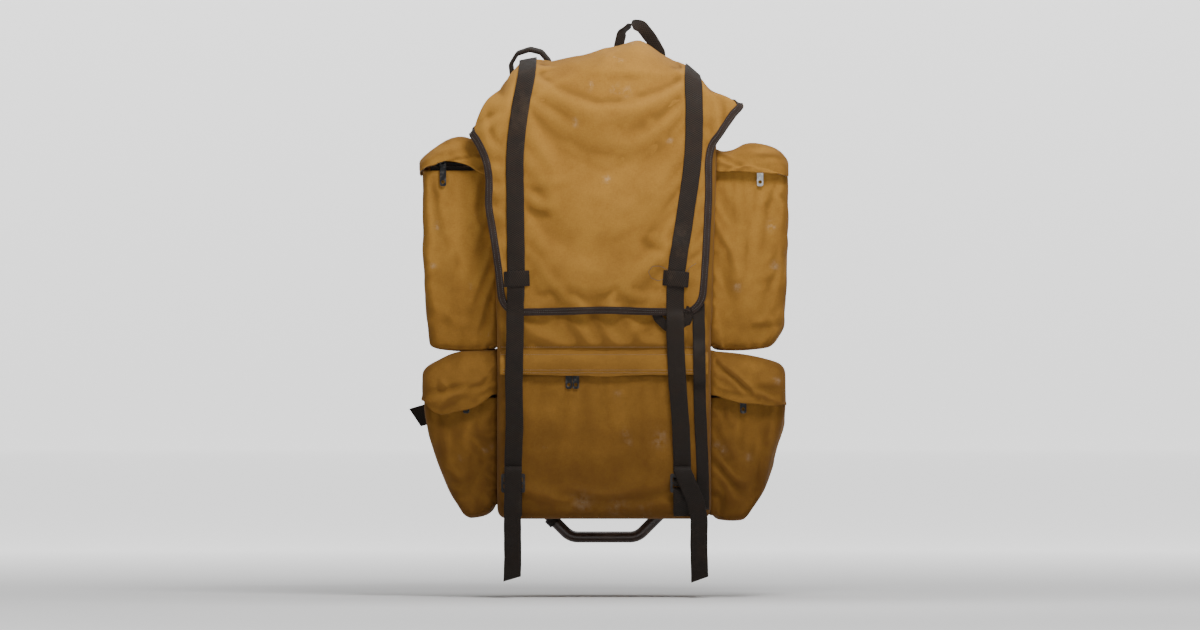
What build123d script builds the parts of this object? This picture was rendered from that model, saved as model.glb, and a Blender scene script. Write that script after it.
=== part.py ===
"""External-frame hunting backpack: a tubular frame carries a two-compartment canvas bag with four
side pockets, a buckled-down lid, zips under storm flaps, and a webbing harness.

Millimetres. While modelling, X runs to the right of someone facing the bag's front, Y runs from that
front (-Y) to the frame (+Y), and Z is the height above the foot of the frame. save() carries every
piece into the row frame, whose origin is the middle of the frame's top bar, where the pack hangs.
"""

from build123d import *
import os

os.makedirs("parts", exist_ok=True)

# ---------------------------------------------------------------- driving dimensions
CLOTH = 3.0  # wall of a sewn canvas panel with its seam allowance
WEB = 25.0  # closure-strap webbing
WEB_THICK = 2.0
BELT_WEB = 30.0
BELT_THICK = 2.5

TUBE_R = 8.0  # frame tube
TUBE_WALL = 1.5
RAIL_X = 98.0  # side rails, either side of the middle
FRAME_Y = 16.0
TOP_BAR_Z = 672.0
CORNER_R = 26.0  # bends at the top of the frame
FOOT_HALF = 48.0  # straight foot of the frame, either side
KNEE_Z = 58.0  # where the rails turn in towards the foot
SPLICE_Z = 330.0
CROSSBAR_R = 6.0
CROSSBAR_HEIGHTS = (205.0, 560.0)

BAG_HALF = 150.0  # bag width, either side
BAG_FRONT = -200.0
BAG_BOTTOM = 38.0
BAG_MOUTH = 620.0
BACK_TOP = 686.0
DIVIDER_Z = 268.0

ZIP_Z = 250.0  # lower compartment zip
ZIP_GAP = 7.0  # half the slot a zip slider runs in
FLAP_TOP = 272.0
FLAP_EDGE = 241.0
FLAP_LIFT = 7.0  # room behind the storm flap for the zip pullers
FLAP_THICK = 1.8

LID_HALF = 156.0
LID_TOP = 702.0
LID_FRONT = -206.0
LID_EDGE = 328.0  # lower edge of the lid's front flap
LID_SKIRT = 596.0  # lower edge of the lid's sides
LID_HINGE = (1.5, 688.0)  # y, z
BINDING = 10.0
EAR = [(151, 556), (188, 590), (197, 625), (176, 642), (151, 650)]  # x, z of a front corner ear

STRAP_BACK = -210.0  # rear face of a closure strap where it crosses the lid
STRAP_LEFT_X = -129.0  # at the ladder-locks
STRAP_RIGHT_X = 111.0
KEEPER_LEFT_X = -124.0
KEEPER_RIGHT_X = 102.0
# middles of the straps, x and z, over the lid and below it
LEFT_OVER = [(-109, 720), (-109, 675), (-126, 560), (KEEPER_LEFT_X - 1, 378), (-126, 300)]
RIGHT_OVER = [(126, 720), (126, 680), (128, 560), (114, 460), (KEEPER_RIGHT_X, 378), (101, 300)]
LEFT_UNDER = [(-126, 330), (-128, 240), (STRAP_LEFT_X, 100)]
RIGHT_UNDER = [(101, 330), (106, 200), (STRAP_RIGHT_X, 100)]
STRAP_PIVOT_Z = 322.0  # where a freed strap bends over the lid's edge
STRAP_END_Z = 117.0  # where the strap enters its ladder-lock
LOCK_Z = 88.0  # middle of a ladder-lock's centre bar
LOCK_WIDTH = 34.0
LOCK_HEIGHT = 27.0
LOCK_THICK = 3.0
BAR = 3.5  # height of a ladder-lock bar
SLOT = 6.0

POCKET_FRONT = -168.0
POCKET_BACK = -30.0
HOOD_INNER = 158.0  # the bag-side edge of a pocket's hood, where it is sewn down
HOOD_LIFT = 8.0  # room under a hood for the zip slider
HOOD_WALL = 2.5
HEM_DROP = 11.0  # a hood's hem hangs this far below its zip
# zip height, floor, crown and outer shoulder of the hood, half width at the zip and at the floor
UPPER_POCKET = dict(zip_z=538.0, floor=285.0, crown=581.0, shoulder=560.0, wide=253.0, narrow=243.0)
LOWER_POCKET = dict(zip_z=215.0, floor=43.0, crown=270.0, shoulder=240.0, wide=249.0, narrow=206.0)

COIL = 2.0  # zip chain: depth, and half its height
SLIDER_HALF_WIDTH = 4.5
SLIDER_HALF_HEIGHT = 6.0
PIN_R = 1.0  # bail bar of a zip slider
PIN_REACH = 3.5  # bail bar in front of the cloth
PIN_RISE = 2.7  # and above the middle of the chain
BARREL_R = 2.0
PULL_LENGTH = 31.0
PULL_HALF_WIDTH = 4.5
PULL_THICK = 1.6

HARNESS_X = 62.0  # shoulder strap anchors, either side
HARNESS_Y = 40.0  # the rivets the straps turn on
STRAP_PAD = 58.0
PAD_THICK = 11.0
BELT_Z = 229.0

TO_ROW_FRAME = Location((0, -FRAME_Y, -TOP_BAR_Z))


def save(piece, name):
    """Writes one finished piece as its own STEP file, in the row frame."""
    piece.part.label = name
    moved = piece.part.moved(TO_ROW_FRAME)
    moved.label = name
    export_step(moved, f"parts/{name}.step")


def front_plane(y):
    """A sketch plane facing the viewer at depth y; extruding forward runs towards -Y."""
    return Plane.XZ.offset(-y)


def span(low, high):
    """Middle and length of an interval."""
    return (low + high) / 2, high - low


# ---------------------------------------------------------------- frame
def tube_along(*points, radius):
    """A bent tube that follows straight runs joined by bends."""
    with BuildPart() as tube:
        with BuildLine() as route:
            FilletPolyline(*points, radius=radius)
        with BuildSketch(Plane(origin=route.line @ 0, z_dir=route.line % 0)):
            Circle(TUBE_R)
            Circle(TUBE_R - TUBE_WALL, mode=Mode.SUBTRACT)
        sweep()
    return tube


frame_upper_bend = tube_along(
    (-RAIL_X, FRAME_Y, SPLICE_Z + 0.5),
    (-RAIL_X, FRAME_Y, TOP_BAR_Z),
    (RAIL_X, FRAME_Y, TOP_BAR_Z),
    (RAIL_X, FRAME_Y, SPLICE_Z + 0.5),
    radius=CORNER_R,
)
save(frame_upper_bend, "frame_upper_bend")

frame_lower_bend = tube_along(
    (-RAIL_X, FRAME_Y, SPLICE_Z - 0.5),
    (-RAIL_X, FRAME_Y, KNEE_Z),
    (-FOOT_HALF, FRAME_Y, TUBE_R),
    (FOOT_HALF, FRAME_Y, TUBE_R),
    (RAIL_X, FRAME_Y, KNEE_Z),
    (RAIL_X, FRAME_Y, SPLICE_Z - 0.5),
    radius=26,
)
save(frame_lower_bend, "frame_lower_bend")

with BuildPart() as frame_sleeves:
    with BuildSketch(Plane.XY.offset(SPLICE_Z - 22)):
        with Locations((-RAIL_X, FRAME_Y), (RAIL_X, FRAME_Y)):
            Circle(TUBE_R + 1.5)
            Circle(TUBE_R + 0.05, mode=Mode.SUBTRACT)
    extrude(amount=44)
save(frame_sleeves, "frame_sleeves")

with BuildPart() as frame_crossbars:
    for height in CROSSBAR_HEIGHTS:
        with BuildSketch(Plane.YZ):
            with Locations((FRAME_Y, height)):
                Circle(CROSSBAR_R)
                Circle(CROSSBAR_R - 1.2, mode=Mode.SUBTRACT)
        extrude(amount=RAIL_X - 3, both=True)
    # the ends are coped to sit on the rails
    with BuildSketch(Plane.XY):
        with Locations((-RAIL_X, FRAME_Y), (RAIL_X, FRAME_Y)):
            Circle(TUBE_R + 0.02)
    extrude(amount=TOP_BAR_Z, mode=Mode.SUBTRACT)
save(frame_crossbars, "frame_crossbars")

BAND_ROOM = 0.2  # between a band's wrap and the tube
with BuildPart() as back_bands:
    for low, high in ((88.0, 148.0), (430.0, 520.0)):
        with BuildSketch(Plane.XY.offset(low)):
            with Locations((0, FRAME_Y)):
                SlotCenterToCenter(2 * RAIL_X, 2 * (TUBE_R + BAND_ROOM + WEB_THICK))
                SlotCenterToCenter(2 * RAIL_X, 2 * (TUBE_R + BAND_ROOM), mode=Mode.SUBTRACT)
            with Locations((0, FRAME_Y - TUBE_R)):
                Rectangle(2 * RAIL_X, 2 * TUBE_R - 0.1, mode=Mode.SUBTRACT)
        extrude(amount=high - low)
save(back_bands, "back_bands")

# ---------------------------------------------------------------- bag panels
def panel(low, high):
    """A flat panel between two corners."""
    middle = [(a + b) / 2 for a, b in zip(low, high)]
    size = [b - a for a, b in zip(low, high)]
    with BuildPart() as flat:
        with Locations(tuple(middle)):
            Box(*size)
    return flat


INSIDE = BAG_HALF - CLOTH
CLEVIS_R = 3.0  # pins that hang the bag on the rails
CLEVIS_HEAD_R = 7.0
PIN_PLACES = [(sign * RAIL_X, z) for sign in (-1, 1) for z in (70, 290, 390, 600)]
with BuildPart() as bag_back_panel:
    with BuildSketch(front_plane(0)):
        with Locations((0, (BAG_BOTTOM + BACK_TOP) / 2)):
            Rectangle(2 * BAG_HALF, BACK_TOP - BAG_BOTTOM)
        with Locations(*PIN_PLACES):
            Circle(CLEVIS_R + 0.15, mode=Mode.SUBTRACT)
    extrude(amount=CLOTH)
save(bag_back_panel, "bag_back_panel")
save(
    panel((-INSIDE, BAG_FRONT, ZIP_Z + ZIP_GAP), (INSIDE, BAG_FRONT + CLOTH, BAG_MOUTH)),
    "bag_upper_front",
)
save(
    panel((-INSIDE, BAG_FRONT, BAG_BOTTOM + CLOTH), (INSIDE, BAG_FRONT + CLOTH, ZIP_Z - ZIP_GAP)),
    "bag_lower_front",
)
save(panel((-INSIDE, BAG_FRONT, BAG_BOTTOM), (INSIDE, -CLOTH, BAG_BOTTOM + CLOTH)), "bag_bottom")
save(
    panel((-INSIDE, BAG_FRONT + CLOTH, DIVIDER_Z), (INSIDE, -CLOTH, DIVIDER_Z + CLOTH)),
    "bag_divider",
)

with BuildPart() as clevis_pins:
    with BuildSketch(front_plane(FRAME_Y)):
        with Locations(*PIN_PLACES):
            Circle(CLEVIS_R)
    extrude(amount=FRAME_Y + CLOTH)
    with BuildSketch(front_plane(-CLOTH)):
        with Locations(*PIN_PLACES):
            Circle(CLEVIS_HEAD_R)
    extrude(amount=2)
    # each shank is coped to its rail
    with BuildSketch(Plane.XY):
        with Locations((-RAIL_X, FRAME_Y), (RAIL_X, FRAME_Y)):
            Circle(TUBE_R + 0.01)
    extrude(amount=TOP_BAR_Z, mode=Mode.SUBTRACT)
save(clevis_pins, "clevis_pins")

with BuildPart() as bag_sides:
    side_mid, side_depth = span(BAG_FRONT, -CLOTH)
    with BuildSketch(Plane.XY.offset(BAG_BOTTOM)):
        with Locations((-BAG_HALF + CLOTH / 2, side_mid), (BAG_HALF - CLOTH / 2, side_mid)):
            Rectangle(CLOTH, side_depth)
    extrude(amount=BAG_MOUTH - BAG_BOTTOM)
save(bag_sides, "bag_sides")

with BuildPart() as mouth_hem:
    depth_mid, depth = span(BAG_FRONT, -CLOTH)
    with BuildSketch(Plane.XY.offset(BAG_MOUTH)):
        with Locations((0, depth_mid)):
            Rectangle(2 * BAG_HALF, depth)
        with Locations((0, depth_mid + CLOTH)):
            Rectangle(2 * INSIDE, depth, mode=Mode.SUBTRACT)
    extrude(amount=14)
save(mouth_hem, "mouth_hem")

# ---------------------------------------------------------------- lid and its binding
def flap_outline(inset=0.0):
    """Front outline of the lid: a wide crown over a flap that narrows to rounded corners."""
    crown = LID_TOP - inset
    side = LID_HALF - inset
    with BuildSketch() as outline:
        with BuildLine():
            Polyline(
                (-147, LID_EDGE),
                (147, LID_EDGE),
                (151, LID_SKIRT - 8),
                (side, LID_SKIRT),
                (side, crown),
                (-side, crown),
                (-side, LID_SKIRT),
                (-151, LID_SKIRT - 8),
                close=True,
            )
        make_face()
        fillet(outline.vertices().group_by(Axis.Y)[0], 34)
        fillet(outline.vertices().group_by(Axis.Y)[-1], 16)
    return outline.sketch


def lid_profile(inset=0.0, low=LID_EDGE, back=2.0):
    """Side outline of the lid: over the top from the hinge and down the front."""
    with BuildSketch() as outline:
        with BuildLine():
            Polyline(
                (back, low),
                (back, LID_TOP - 8 - inset),
                (-70, LID_TOP - inset),
                (LID_FRONT + 46, LID_TOP - inset),
                (LID_FRONT + inset, LID_TOP - 62),
                (LID_FRONT + inset, low),
                close=True,
            )
        make_face()
        bends = outline.vertices().filter_by(lambda v: v.X < -60 and v.Y > LID_SKIRT)
        fillet(bends, 26)
    return outline.sketch


LID_FACE = flap_outline()
LID_SIDE = lid_profile()
LID_ROOM_SIDE = lid_profile(inset=CLOTH, low=LID_EDGE - 10, back=12)
CUT_REACH = 240.0  # an extrusion longer than the pack is deep or half as wide as it
EAR_THICK = 12.0

with BuildPart() as lid_room:
    # the room inside the lid, which leaves it a sheet of cloth
    with BuildSketch(front_plane(12)):
        with Locations((0, LID_TOP / 2)):
            Rectangle(2 * (LID_HALF - CLOTH), LID_TOP - 2 * CLOTH)
    extrude(amount=CUT_REACH)
    with BuildSketch(Plane.YZ):
        add(LID_ROOM_SIDE)
    extrude(amount=CUT_REACH, both=True, mode=Mode.INTERSECT)

with BuildPart() as lid:
    with BuildSketch(front_plane(10)):
        add(LID_FACE)
    extrude(amount=CUT_REACH)
    with BuildSketch(Plane.YZ):
        add(LID_SIDE)
    extrude(amount=CUT_REACH, both=True, mode=Mode.INTERSECT)
    add(lid_room.part, mode=Mode.SUBTRACT)
    # stiff ears where the front flap turns into the sides
    with BuildSketch(front_plane(LID_FRONT + EAR_THICK)):
        for side in (-1, 1):
            with BuildLine():
                Polyline(*[(side * x, z) for x, z in EAR], close=True)
            make_face()
    extrude(amount=EAR_THICK)
save(lid, "lid")

BINDING_PROUD = 2.0
with BuildPart() as lid_binding:
    with BuildSketch(front_plane(LID_FRONT)):
        add(LID_FACE)
        offset(amount=-BINDING, mode=Mode.SUBTRACT)
        with Locations((0, LID_SKIRT + 100)):
            Rectangle(400, 200, mode=Mode.SUBTRACT)
    extrude(amount=BINDING_PROUD)
save(lid_binding, "lid_binding")

# ---------------------------------------------------------------- closure straps
def strap_outline(route):
    """Front outline of a closure strap whose middle follows a route of x, z points."""
    with BuildSketch() as outline:
        with BuildLine():
            left = [(x - WEB / 2, z) for x, z in route]
            right = [(x + WEB / 2, z) for x, z in reversed(route)]
            Polyline(*left, *right, close=True)
        make_face()
    return outline.sketch


def strap_over_lid(route):
    """One closure strap from the lid's hinge, over the top and down to the lid's lower edge."""
    rise = LID_FRONT - STRAP_BACK  # from the cloth to the strap's rear face
    outer = lid_profile(inset=-rise - WEB_THICK, low=STRAP_PIVOT_Z + 1.5, back=0.5)
    inner = lid_profile(inset=-rise, low=STRAP_PIVOT_Z - 50, back=40)
    face = strap_outline(route)
    with BuildPart() as strap:
        with BuildSketch(Plane.YZ):
            add(outer)
            add(inner, mode=Mode.SUBTRACT)
        extrude(amount=CUT_REACH, both=True)
        with BuildSketch(front_plane(50)):
            add(face)
        extrude(amount=50 + CUT_REACH, mode=Mode.INTERSECT)
    return strap


strap_over_left = strap_over_lid(LEFT_OVER)
strap_over_right = strap_over_lid(RIGHT_OVER)
with BuildPart() as closure_straps_upper:
    add(strap_over_left.part)
    add(strap_over_right.part)
save(closure_straps_upper, "closure_straps_upper")

KEEPER_FRONT = STRAP_BACK - WEB_THICK - 2.0
KEEPER_LOW = 366.0
KEEPER_HIGH = 390.0
with BuildPart() as strap_keepers:
    keeper_mid, keeper_height = span(KEEPER_LOW, KEEPER_HIGH)
    for x in (KEEPER_LEFT_X, KEEPER_RIGHT_X):
        with BuildSketch(Plane.XY.offset(keeper_mid)):
            with Locations((x, (LID_FRONT + KEEPER_FRONT) / 2)):
                Rectangle(WEB + 9, LID_FRONT - KEEPER_FRONT)
            with Locations((x, STRAP_BACK - WEB_THICK / 2)):
                Rectangle(WEB + 4, WEB_THICK + 1, mode=Mode.SUBTRACT)
        extrude(amount=keeper_height / 2, both=True)
    # the keepers are sewn down over the binding
    add(lid_binding.part, mode=Mode.SUBTRACT)
save(strap_keepers, "strap_keepers")

TOP_LOOP_X = -104.0
with BuildPart() as lid_top_loop:
    with BuildSketch(front_plane(-52)):
        with Locations((TOP_LOOP_X, LID_TOP + 6)):
            RectangleRounded(68, 12, 5)
        with Locations((TOP_LOOP_X, LID_TOP + 5)):
            RectangleRounded(62, 10, 3, mode=Mode.SUBTRACT)
    extrude(amount=20)
save(lid_top_loop, "lid_top_loop")

STRAP_MID = STRAP_BACK - WEB_THICK / 2
STRAP_LOW_Y = BAG_FRONT - 3.0  # middle of the webbing where it reaches the ladder-lock


def strap_below_lid(route):
    """The free run of a closure strap, from the lid's edge down to its ladder-lock."""
    half = WEB_THICK / 2
    run = [(STRAP_MID, STRAP_PIVOT_Z), (STRAP_MID, FLAP_EDGE - 8), (STRAP_LOW_Y, STRAP_END_Z)]
    face = strap_outline(route)
    with BuildPart() as strap:
        with BuildSketch(Plane.YZ):
            with BuildLine():
                front = [(y - half, z) for y, z in run]
                rear = [(y + half, z) for y, z in reversed(run)]
                Polyline(*front, *rear, close=True)
            make_face()
        extrude(amount=CUT_REACH, both=True)
        with BuildSketch(front_plane(50)):
            add(face)
        extrude(amount=50 + CUT_REACH, mode=Mode.INTERSECT)
    return strap


save(strap_below_lid(LEFT_UNDER), "strap_left_lower")
save(strap_below_lid(RIGHT_UNDER), "strap_right_lower")

# ---------------------------------------------------------------- ladder-locks, anchors and threading
LOCK_Y = BAG_FRONT - 8.5  # middle of a ladder-lock's plate


with BuildPart() as ladder_locks:
    # each is a frame with a centre bar, which makes two slots
    with BuildSketch(front_plane(LOCK_Y)):
        with Locations((STRAP_LEFT_X, LOCK_Z), (STRAP_RIGHT_X, LOCK_Z)):
            RectangleRounded(LOCK_WIDTH, LOCK_HEIGHT, 3)
            with GridLocations(0, SLOT + BAR, 1, 2):
                Rectangle(WEB + 2, SLOT, mode=Mode.SUBTRACT)
    extrude(amount=LOCK_THICK / 2, both=True)
save(ladder_locks, "ladder_locks")

LOWER_SLOT_Z = LOCK_Z - (SLOT + BAR) / 2
UPPER_SLOT_Z = LOCK_Z + (SLOT + BAR) / 2


def web_path(points, x, width, thick, radius):
    """A strip of webbing that follows a route in the YZ plane, its bends rounded."""
    with BuildPart() as strip:
        with BuildLine(Plane.YZ.offset(x)) as route:
            FilletPolyline(*points, radius=radius)
        with BuildSketch(Plane(origin=route.line @ 0, x_dir=(1, 0, 0), z_dir=route.line % 0)):
            Rectangle(width, thick)
        sweep()
    return strip


TAIL_Y = LOCK_Y - 7.5
TAIL_TOP = 106.0
# y, z: down behind the lock, out through the lower slot, over the centre bar, back through the
# upper slot, up behind the lip and forward over it
THREADING_ROUTE = [
    (STRAP_LOW_Y, STRAP_END_Z - 0.6),
    (STRAP_LOW_Y, LOWER_SLOT_Z + 1),
    (LOCK_Y - 4.2, LOWER_SLOT_Z + 1),
    (LOCK_Y - 4.2, UPPER_SLOT_Z - 1),
    (LOCK_Y + 2.9, UPPER_SLOT_Z - 0.2),
    (LOCK_Y + 2.9, TAIL_TOP + 2),
    (TAIL_Y - 0.5, TAIL_TOP + 2),
]
THREADED_THICK = 1.4  # webbing pressed thin in the lock
wraps = [web_path(THREADING_ROUTE, x, WEB, THREADED_THICK, 0.9) for x in (STRAP_LEFT_X, STRAP_RIGHT_X)]
with BuildPart() as strap_threading:
    for wrap in wraps:
        add(wrap.part)
save(strap_threading, "strap_threading")


def strap_tail(outline):
    """A strap's loose end, hanging in front of its ladder-lock to an angled cut."""
    with BuildPart() as tail:
        with BuildSketch(front_plane(TAIL_Y)):
            with BuildLine():
                Polyline(*outline, close=True)
            make_face()
        extrude(amount=WEB_THICK / 2, both=True)
    return tail


left_in = STRAP_LEFT_X + WEB / 2
left_out = STRAP_LEFT_X - WEB / 2
save(
    strap_tail([(left_out, TAIL_TOP), (left_out - 4, -54), (left_out + 20, -46), (left_in, TAIL_TOP)]),
    "strap_left_tail",
)
right_in = STRAP_RIGHT_X - WEB / 2
right_out = STRAP_RIGHT_X + WEB / 2
save(
    strap_tail(
        [
            (right_in, TAIL_TOP),
            (right_in + 27, 40),
            (right_in + 34, -55),
            (right_in + 57, -45),
            (right_out + 28, 42),
            (right_out, TAIL_TOP),
        ]
    ),
    "strap_right_tail",
)

with BuildPart() as strap_anchors:
    for x in (STRAP_LEFT_X, STRAP_RIGHT_X):
        with BuildSketch(Plane.YZ.offset(x)):
            bar_z = LOWER_SLOT_Z - SLOT / 2
            with Locations((LOCK_Y, bar_z - 17)):
                Rectangle(LOCK_THICK + 4, 40)
                Rectangle(LOCK_THICK + 1, 37, mode=Mode.SUBTRACT)
            with Locations(((LOCK_Y + BAG_FRONT + 3.5) / 2, bar_z - 32)):
                Rectangle(5, 10)
        extrude(amount=WEB / 2, both=True)
save(strap_anchors, "strap_anchors")

SIDE_STRAP_X = 138.0
NARROW_WEB = 18.0
with BuildPart() as side_strap:
    side_strap_mid, side_strap_length = span(50.0, 335.0)
    with BuildSketch(front_plane(BAG_FRONT)):
        with Locations((SIDE_STRAP_X, side_strap_mid)):
            Rectangle(NARROW_WEB, side_strap_length)
    extrude(amount=WEB_THICK)
save(side_strap, "side_strap")

with BuildPart() as under_lid_loop:
    # a slack bight of narrow webbing that hangs just below the lid's edge
    with BuildSketch(front_plane(BAG_FRONT)):
        with BuildLine():
            ThreePointArc((68, 336), (98, 302), (127, 336))
            Line((127, 336), (119, 336))
            ThreePointArc((119, 336), (98, 311), (76, 336))
            Line((76, 336), (68, 336))
        make_face()
    extrude(amount=2)
save(under_lid_loop, "under_lid_loop")


# ---------------------------------------------------------------- zips
def zip_chain(x_low, x_high, face, z, below, above):
    """Coil and tape of a zip set into a cloth whose front is at depth face."""
    middle, length = span(x_low, x_high)
    with BuildPart() as chain:
        with BuildSketch(Plane.YZ.offset(middle)):
            with Locations((face + 0.5 + COIL / 2, z)):
                Rectangle(COIL, 2 * COIL)
            with Locations((face + 0.5 + COIL + 0.3, z + (above - below) / 2)):
                Rectangle(0.6, above + below)
        extrude(amount=length / 2, both=True)
    return chain


def zip_slider(x, face, z):
    """A slider that rides the coil, with two posts and the bar its pull hangs on."""
    pin = (face - PIN_REACH, z + PIN_RISE)
    with BuildPart() as slider:
        with BuildSketch(Plane.YZ.offset(x)):
            with Locations((face + 0.55, z)):
                Rectangle(3.5, 2 * SLIDER_HALF_HEIGHT)
            with Locations((face + 0.4 + 1, z)):
                Rectangle(2, 2 * COIL + 0.2, mode=Mode.SUBTRACT)
        extrude(amount=SLIDER_HALF_WIDTH, both=True)
        with BuildSketch(Plane.YZ.offset(x)):
            with Locations(((pin[0] - 1.3 + face - 1.2) / 2, pin[1])):
                Rectangle(PIN_REACH + 1.3 - 1.2, 3.6)
        extrude(amount=3.6, both=True)
        with BuildSketch(Plane.YZ.offset(x)):
            with Locations(((pin[0] - 1.3 + face - 1.2) / 2 - 0.5, pin[1])):
                Rectangle(PIN_REACH + 1.3 - 0.2, 5)
        extrude(amount=2.2, both=True, mode=Mode.SUBTRACT)
        with BuildSketch(Plane.YZ.offset(x)):
            with Locations(pin):
                Circle(PIN_R)
        extrude(amount=3.0, both=True)
    return slider


def zip_pull(x, face, z):
    """A flat pull with a round grip hole, its barrel turning on the slider's bar."""
    pin = (face - PIN_REACH, z + PIN_RISE)
    tip = pin[1] - PULL_LENGTH
    with BuildPart() as pull:
        with BuildSketch(front_plane(pin[0])):
            with BuildLine():
                Polyline(
                    (x - 1.7, pin[1]),
                    (x - 1.7, pin[1] - 3.5),
                    (x - PULL_HALF_WIDTH, pin[1] - 9),
                    (x - PULL_HALF_WIDTH, tip),
                    (x + PULL_HALF_WIDTH, tip),
                    (x + PULL_HALF_WIDTH, pin[1] - 9),
                    (x + 1.7, pin[1] - 3.5),
                    (x + 1.7, pin[1]),
                    close=True,
                )
            make_face()
            fillet(vertices().group_by(Axis.Y)[0], 3)
            with Locations((x, tip + 6)):
                Circle(2.6, mode=Mode.SUBTRACT)
        extrude(amount=PULL_THICK / 2, both=True)
        with BuildSketch(Plane.YZ.offset(x)):
            with Locations(pin):
                Circle(BARREL_R)
        extrude(amount=1.7, both=True)
        with BuildSketch(Plane.YZ.offset(x)):
            with Locations(pin):
                Circle(PIN_R + 0.06)
        extrude(amount=4, both=True, mode=Mode.SUBTRACT)
    return pull


save(zip_chain(-INSIDE, INSIDE, BAG_FRONT, ZIP_Z, ZIP_GAP, ZIP_GAP), "lower_zip_chain")
LOWER_SLIDERS = dict(left=-50.0, right=-40.0)
for side, x in LOWER_SLIDERS.items():
    save(zip_slider(x, BAG_FRONT, ZIP_Z), f"lower_zip_{side}_slider")
    save(zip_pull(x, BAG_FRONT, ZIP_Z), f"lower_zip_{side}_pull")

FLAP_HALF = 128.0
FLAP_X = -2.0
SEAM_GAP = 0.02
with BuildPart() as lower_storm_flap:
    # a padded header on the bag, and the flap that is sewn to it and hangs over the zip
    flap_front = BAG_FRONT - FLAP_LIFT - FLAP_THICK
    with BuildSketch(Plane.YZ.offset(FLAP_X)):
        with BuildLine():
            Polyline(
                (BAG_FRONT, FLAP_TOP + 6),
                (flap_front, FLAP_TOP),
                (flap_front, FLAP_TOP - 2),
                (BAG_FRONT, FLAP_TOP - 2),
                close=True,
            )
        make_face()
        with Locations((flap_front + FLAP_THICK / 2, (FLAP_TOP - 2 - SEAM_GAP + FLAP_EDGE) / 2)):
            Rectangle(FLAP_THICK, FLAP_TOP - 2 - SEAM_GAP - FLAP_EDGE)
    extrude(amount=FLAP_HALF, both=True)
save(lower_storm_flap, "lower_storm_flap")


# ---------------------------------------------------------------- side pockets
POCKET_DEPTH = POCKET_BACK - POCKET_FRONT


def face_through(corners, side):
    """A flat face through x, z corners, mirrored to the bag's left when side is -1."""
    with BuildSketch() as face:
        with BuildLine():
            Polyline(*[(side * x, z) for x, z in corners], close=True)
        make_face()
    return face.sketch


def body_corners(pocket, inset, inner, high):
    """Front outline of a pocket: its outer side leans in below the knee."""
    floor = pocket["floor"]
    knee = floor + 0.4 * (pocket["zip_z"] - ZIP_GAP - floor)
    return [
        (inner, floor + inset),
        (pocket["narrow"] - inset, floor + inset),
        (pocket["wide"] - inset, knee),
        (pocket["wide"] - inset, high),
        (inner, high),
    ]


def pocket_body(side, pocket):
    """An open-topped cloth box on the bag's side; the bag closes its inner face."""
    top = pocket["zip_z"] - ZIP_GAP
    outside = face_through(body_corners(pocket, 0, BAG_HALF, top), side)
    inside = face_through(body_corners(pocket, CLOTH, BAG_HALF - 10, top + 10), side)
    with BuildPart() as body:
        with BuildSketch(front_plane(POCKET_BACK)):
            add(outside)
        extrude(amount=POCKET_DEPTH)
        with BuildSketch(front_plane(POCKET_BACK - CLOTH)):
            add(inside)
        extrude(amount=POCKET_DEPTH - 2 * CLOTH, mode=Mode.SUBTRACT)
    return body


def hood_corners(pocket, inset, inner, low):
    """Front outline of a hood: a crown by the bag that slopes to an outer shoulder."""
    outer = pocket["wide"] + HOOD_LIFT + HOOD_WALL
    return [
        (inner, low),
        (outer - inset, low),
        (outer - inset, pocket["shoulder"] - inset),
        (outer - 0.42 * (outer - HOOD_INNER), pocket["crown"] - inset),
        (inner, pocket["crown"] - inset),
    ]


def pocket_hood(side, pocket):
    """The hood over a pocket's zip, open below and towards the bag."""
    hem = pocket["zip_z"] - HEM_DROP
    outside = face_through(hood_corners(pocket, 0, HOOD_INNER, hem), side)
    inside = face_through(hood_corners(pocket, HOOD_WALL, HOOD_INNER - 10, hem - 10), side)
    with BuildPart() as hood:
        with BuildSketch(front_plane(POCKET_BACK + HOOD_LIFT + HOOD_WALL)):
            add(outside)
        extrude(amount=POCKET_DEPTH + 2 * (HOOD_LIFT + HOOD_WALL))
        with BuildSketch(front_plane(POCKET_BACK + HOOD_LIFT)):
            add(inside)
        extrude(amount=POCKET_DEPTH + 2 * HOOD_LIFT, mode=Mode.SUBTRACT)
    return hood


POCKET_SLIDERS = dict(upper=dict(left=-229.0, right=222.0), lower=dict(left=-196.0, right=198.0))
POCKETS = dict(upper=UPPER_POCKET, lower=LOWER_POCKET)
SIDES = dict(left=-1, right=1)
for level, pocket in POCKETS.items():
    for side, sign in SIDES.items():
        name = f"pocket_{level}_{side}"
        x = POCKET_SLIDERS[level][side]
        save(pocket_body(sign, pocket), f"{name}_body")
        save(pocket_hood(sign, pocket), f"{name}_hood")
        save(zip_slider(x, POCKET_FRONT, pocket["zip_z"]), f"{name}_slider")
        save(zip_pull(x, POCKET_FRONT, pocket["zip_z"]), f"{name}_pull")

chains = []
for pocket in POCKETS.values():
    for sign in SIDES.values():
        ends = sorted((sign * (BAG_HALF + 1), sign * (pocket["wide"] - 1)))
        chains.append(zip_chain(*ends, POCKET_FRONT, pocket["zip_z"], ZIP_GAP, COIL))
with BuildPart() as pocket_zip_chains:
    for chain in chains:
        add(chain.part)
save(pocket_zip_chains, "pocket_zip_chains")

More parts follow.
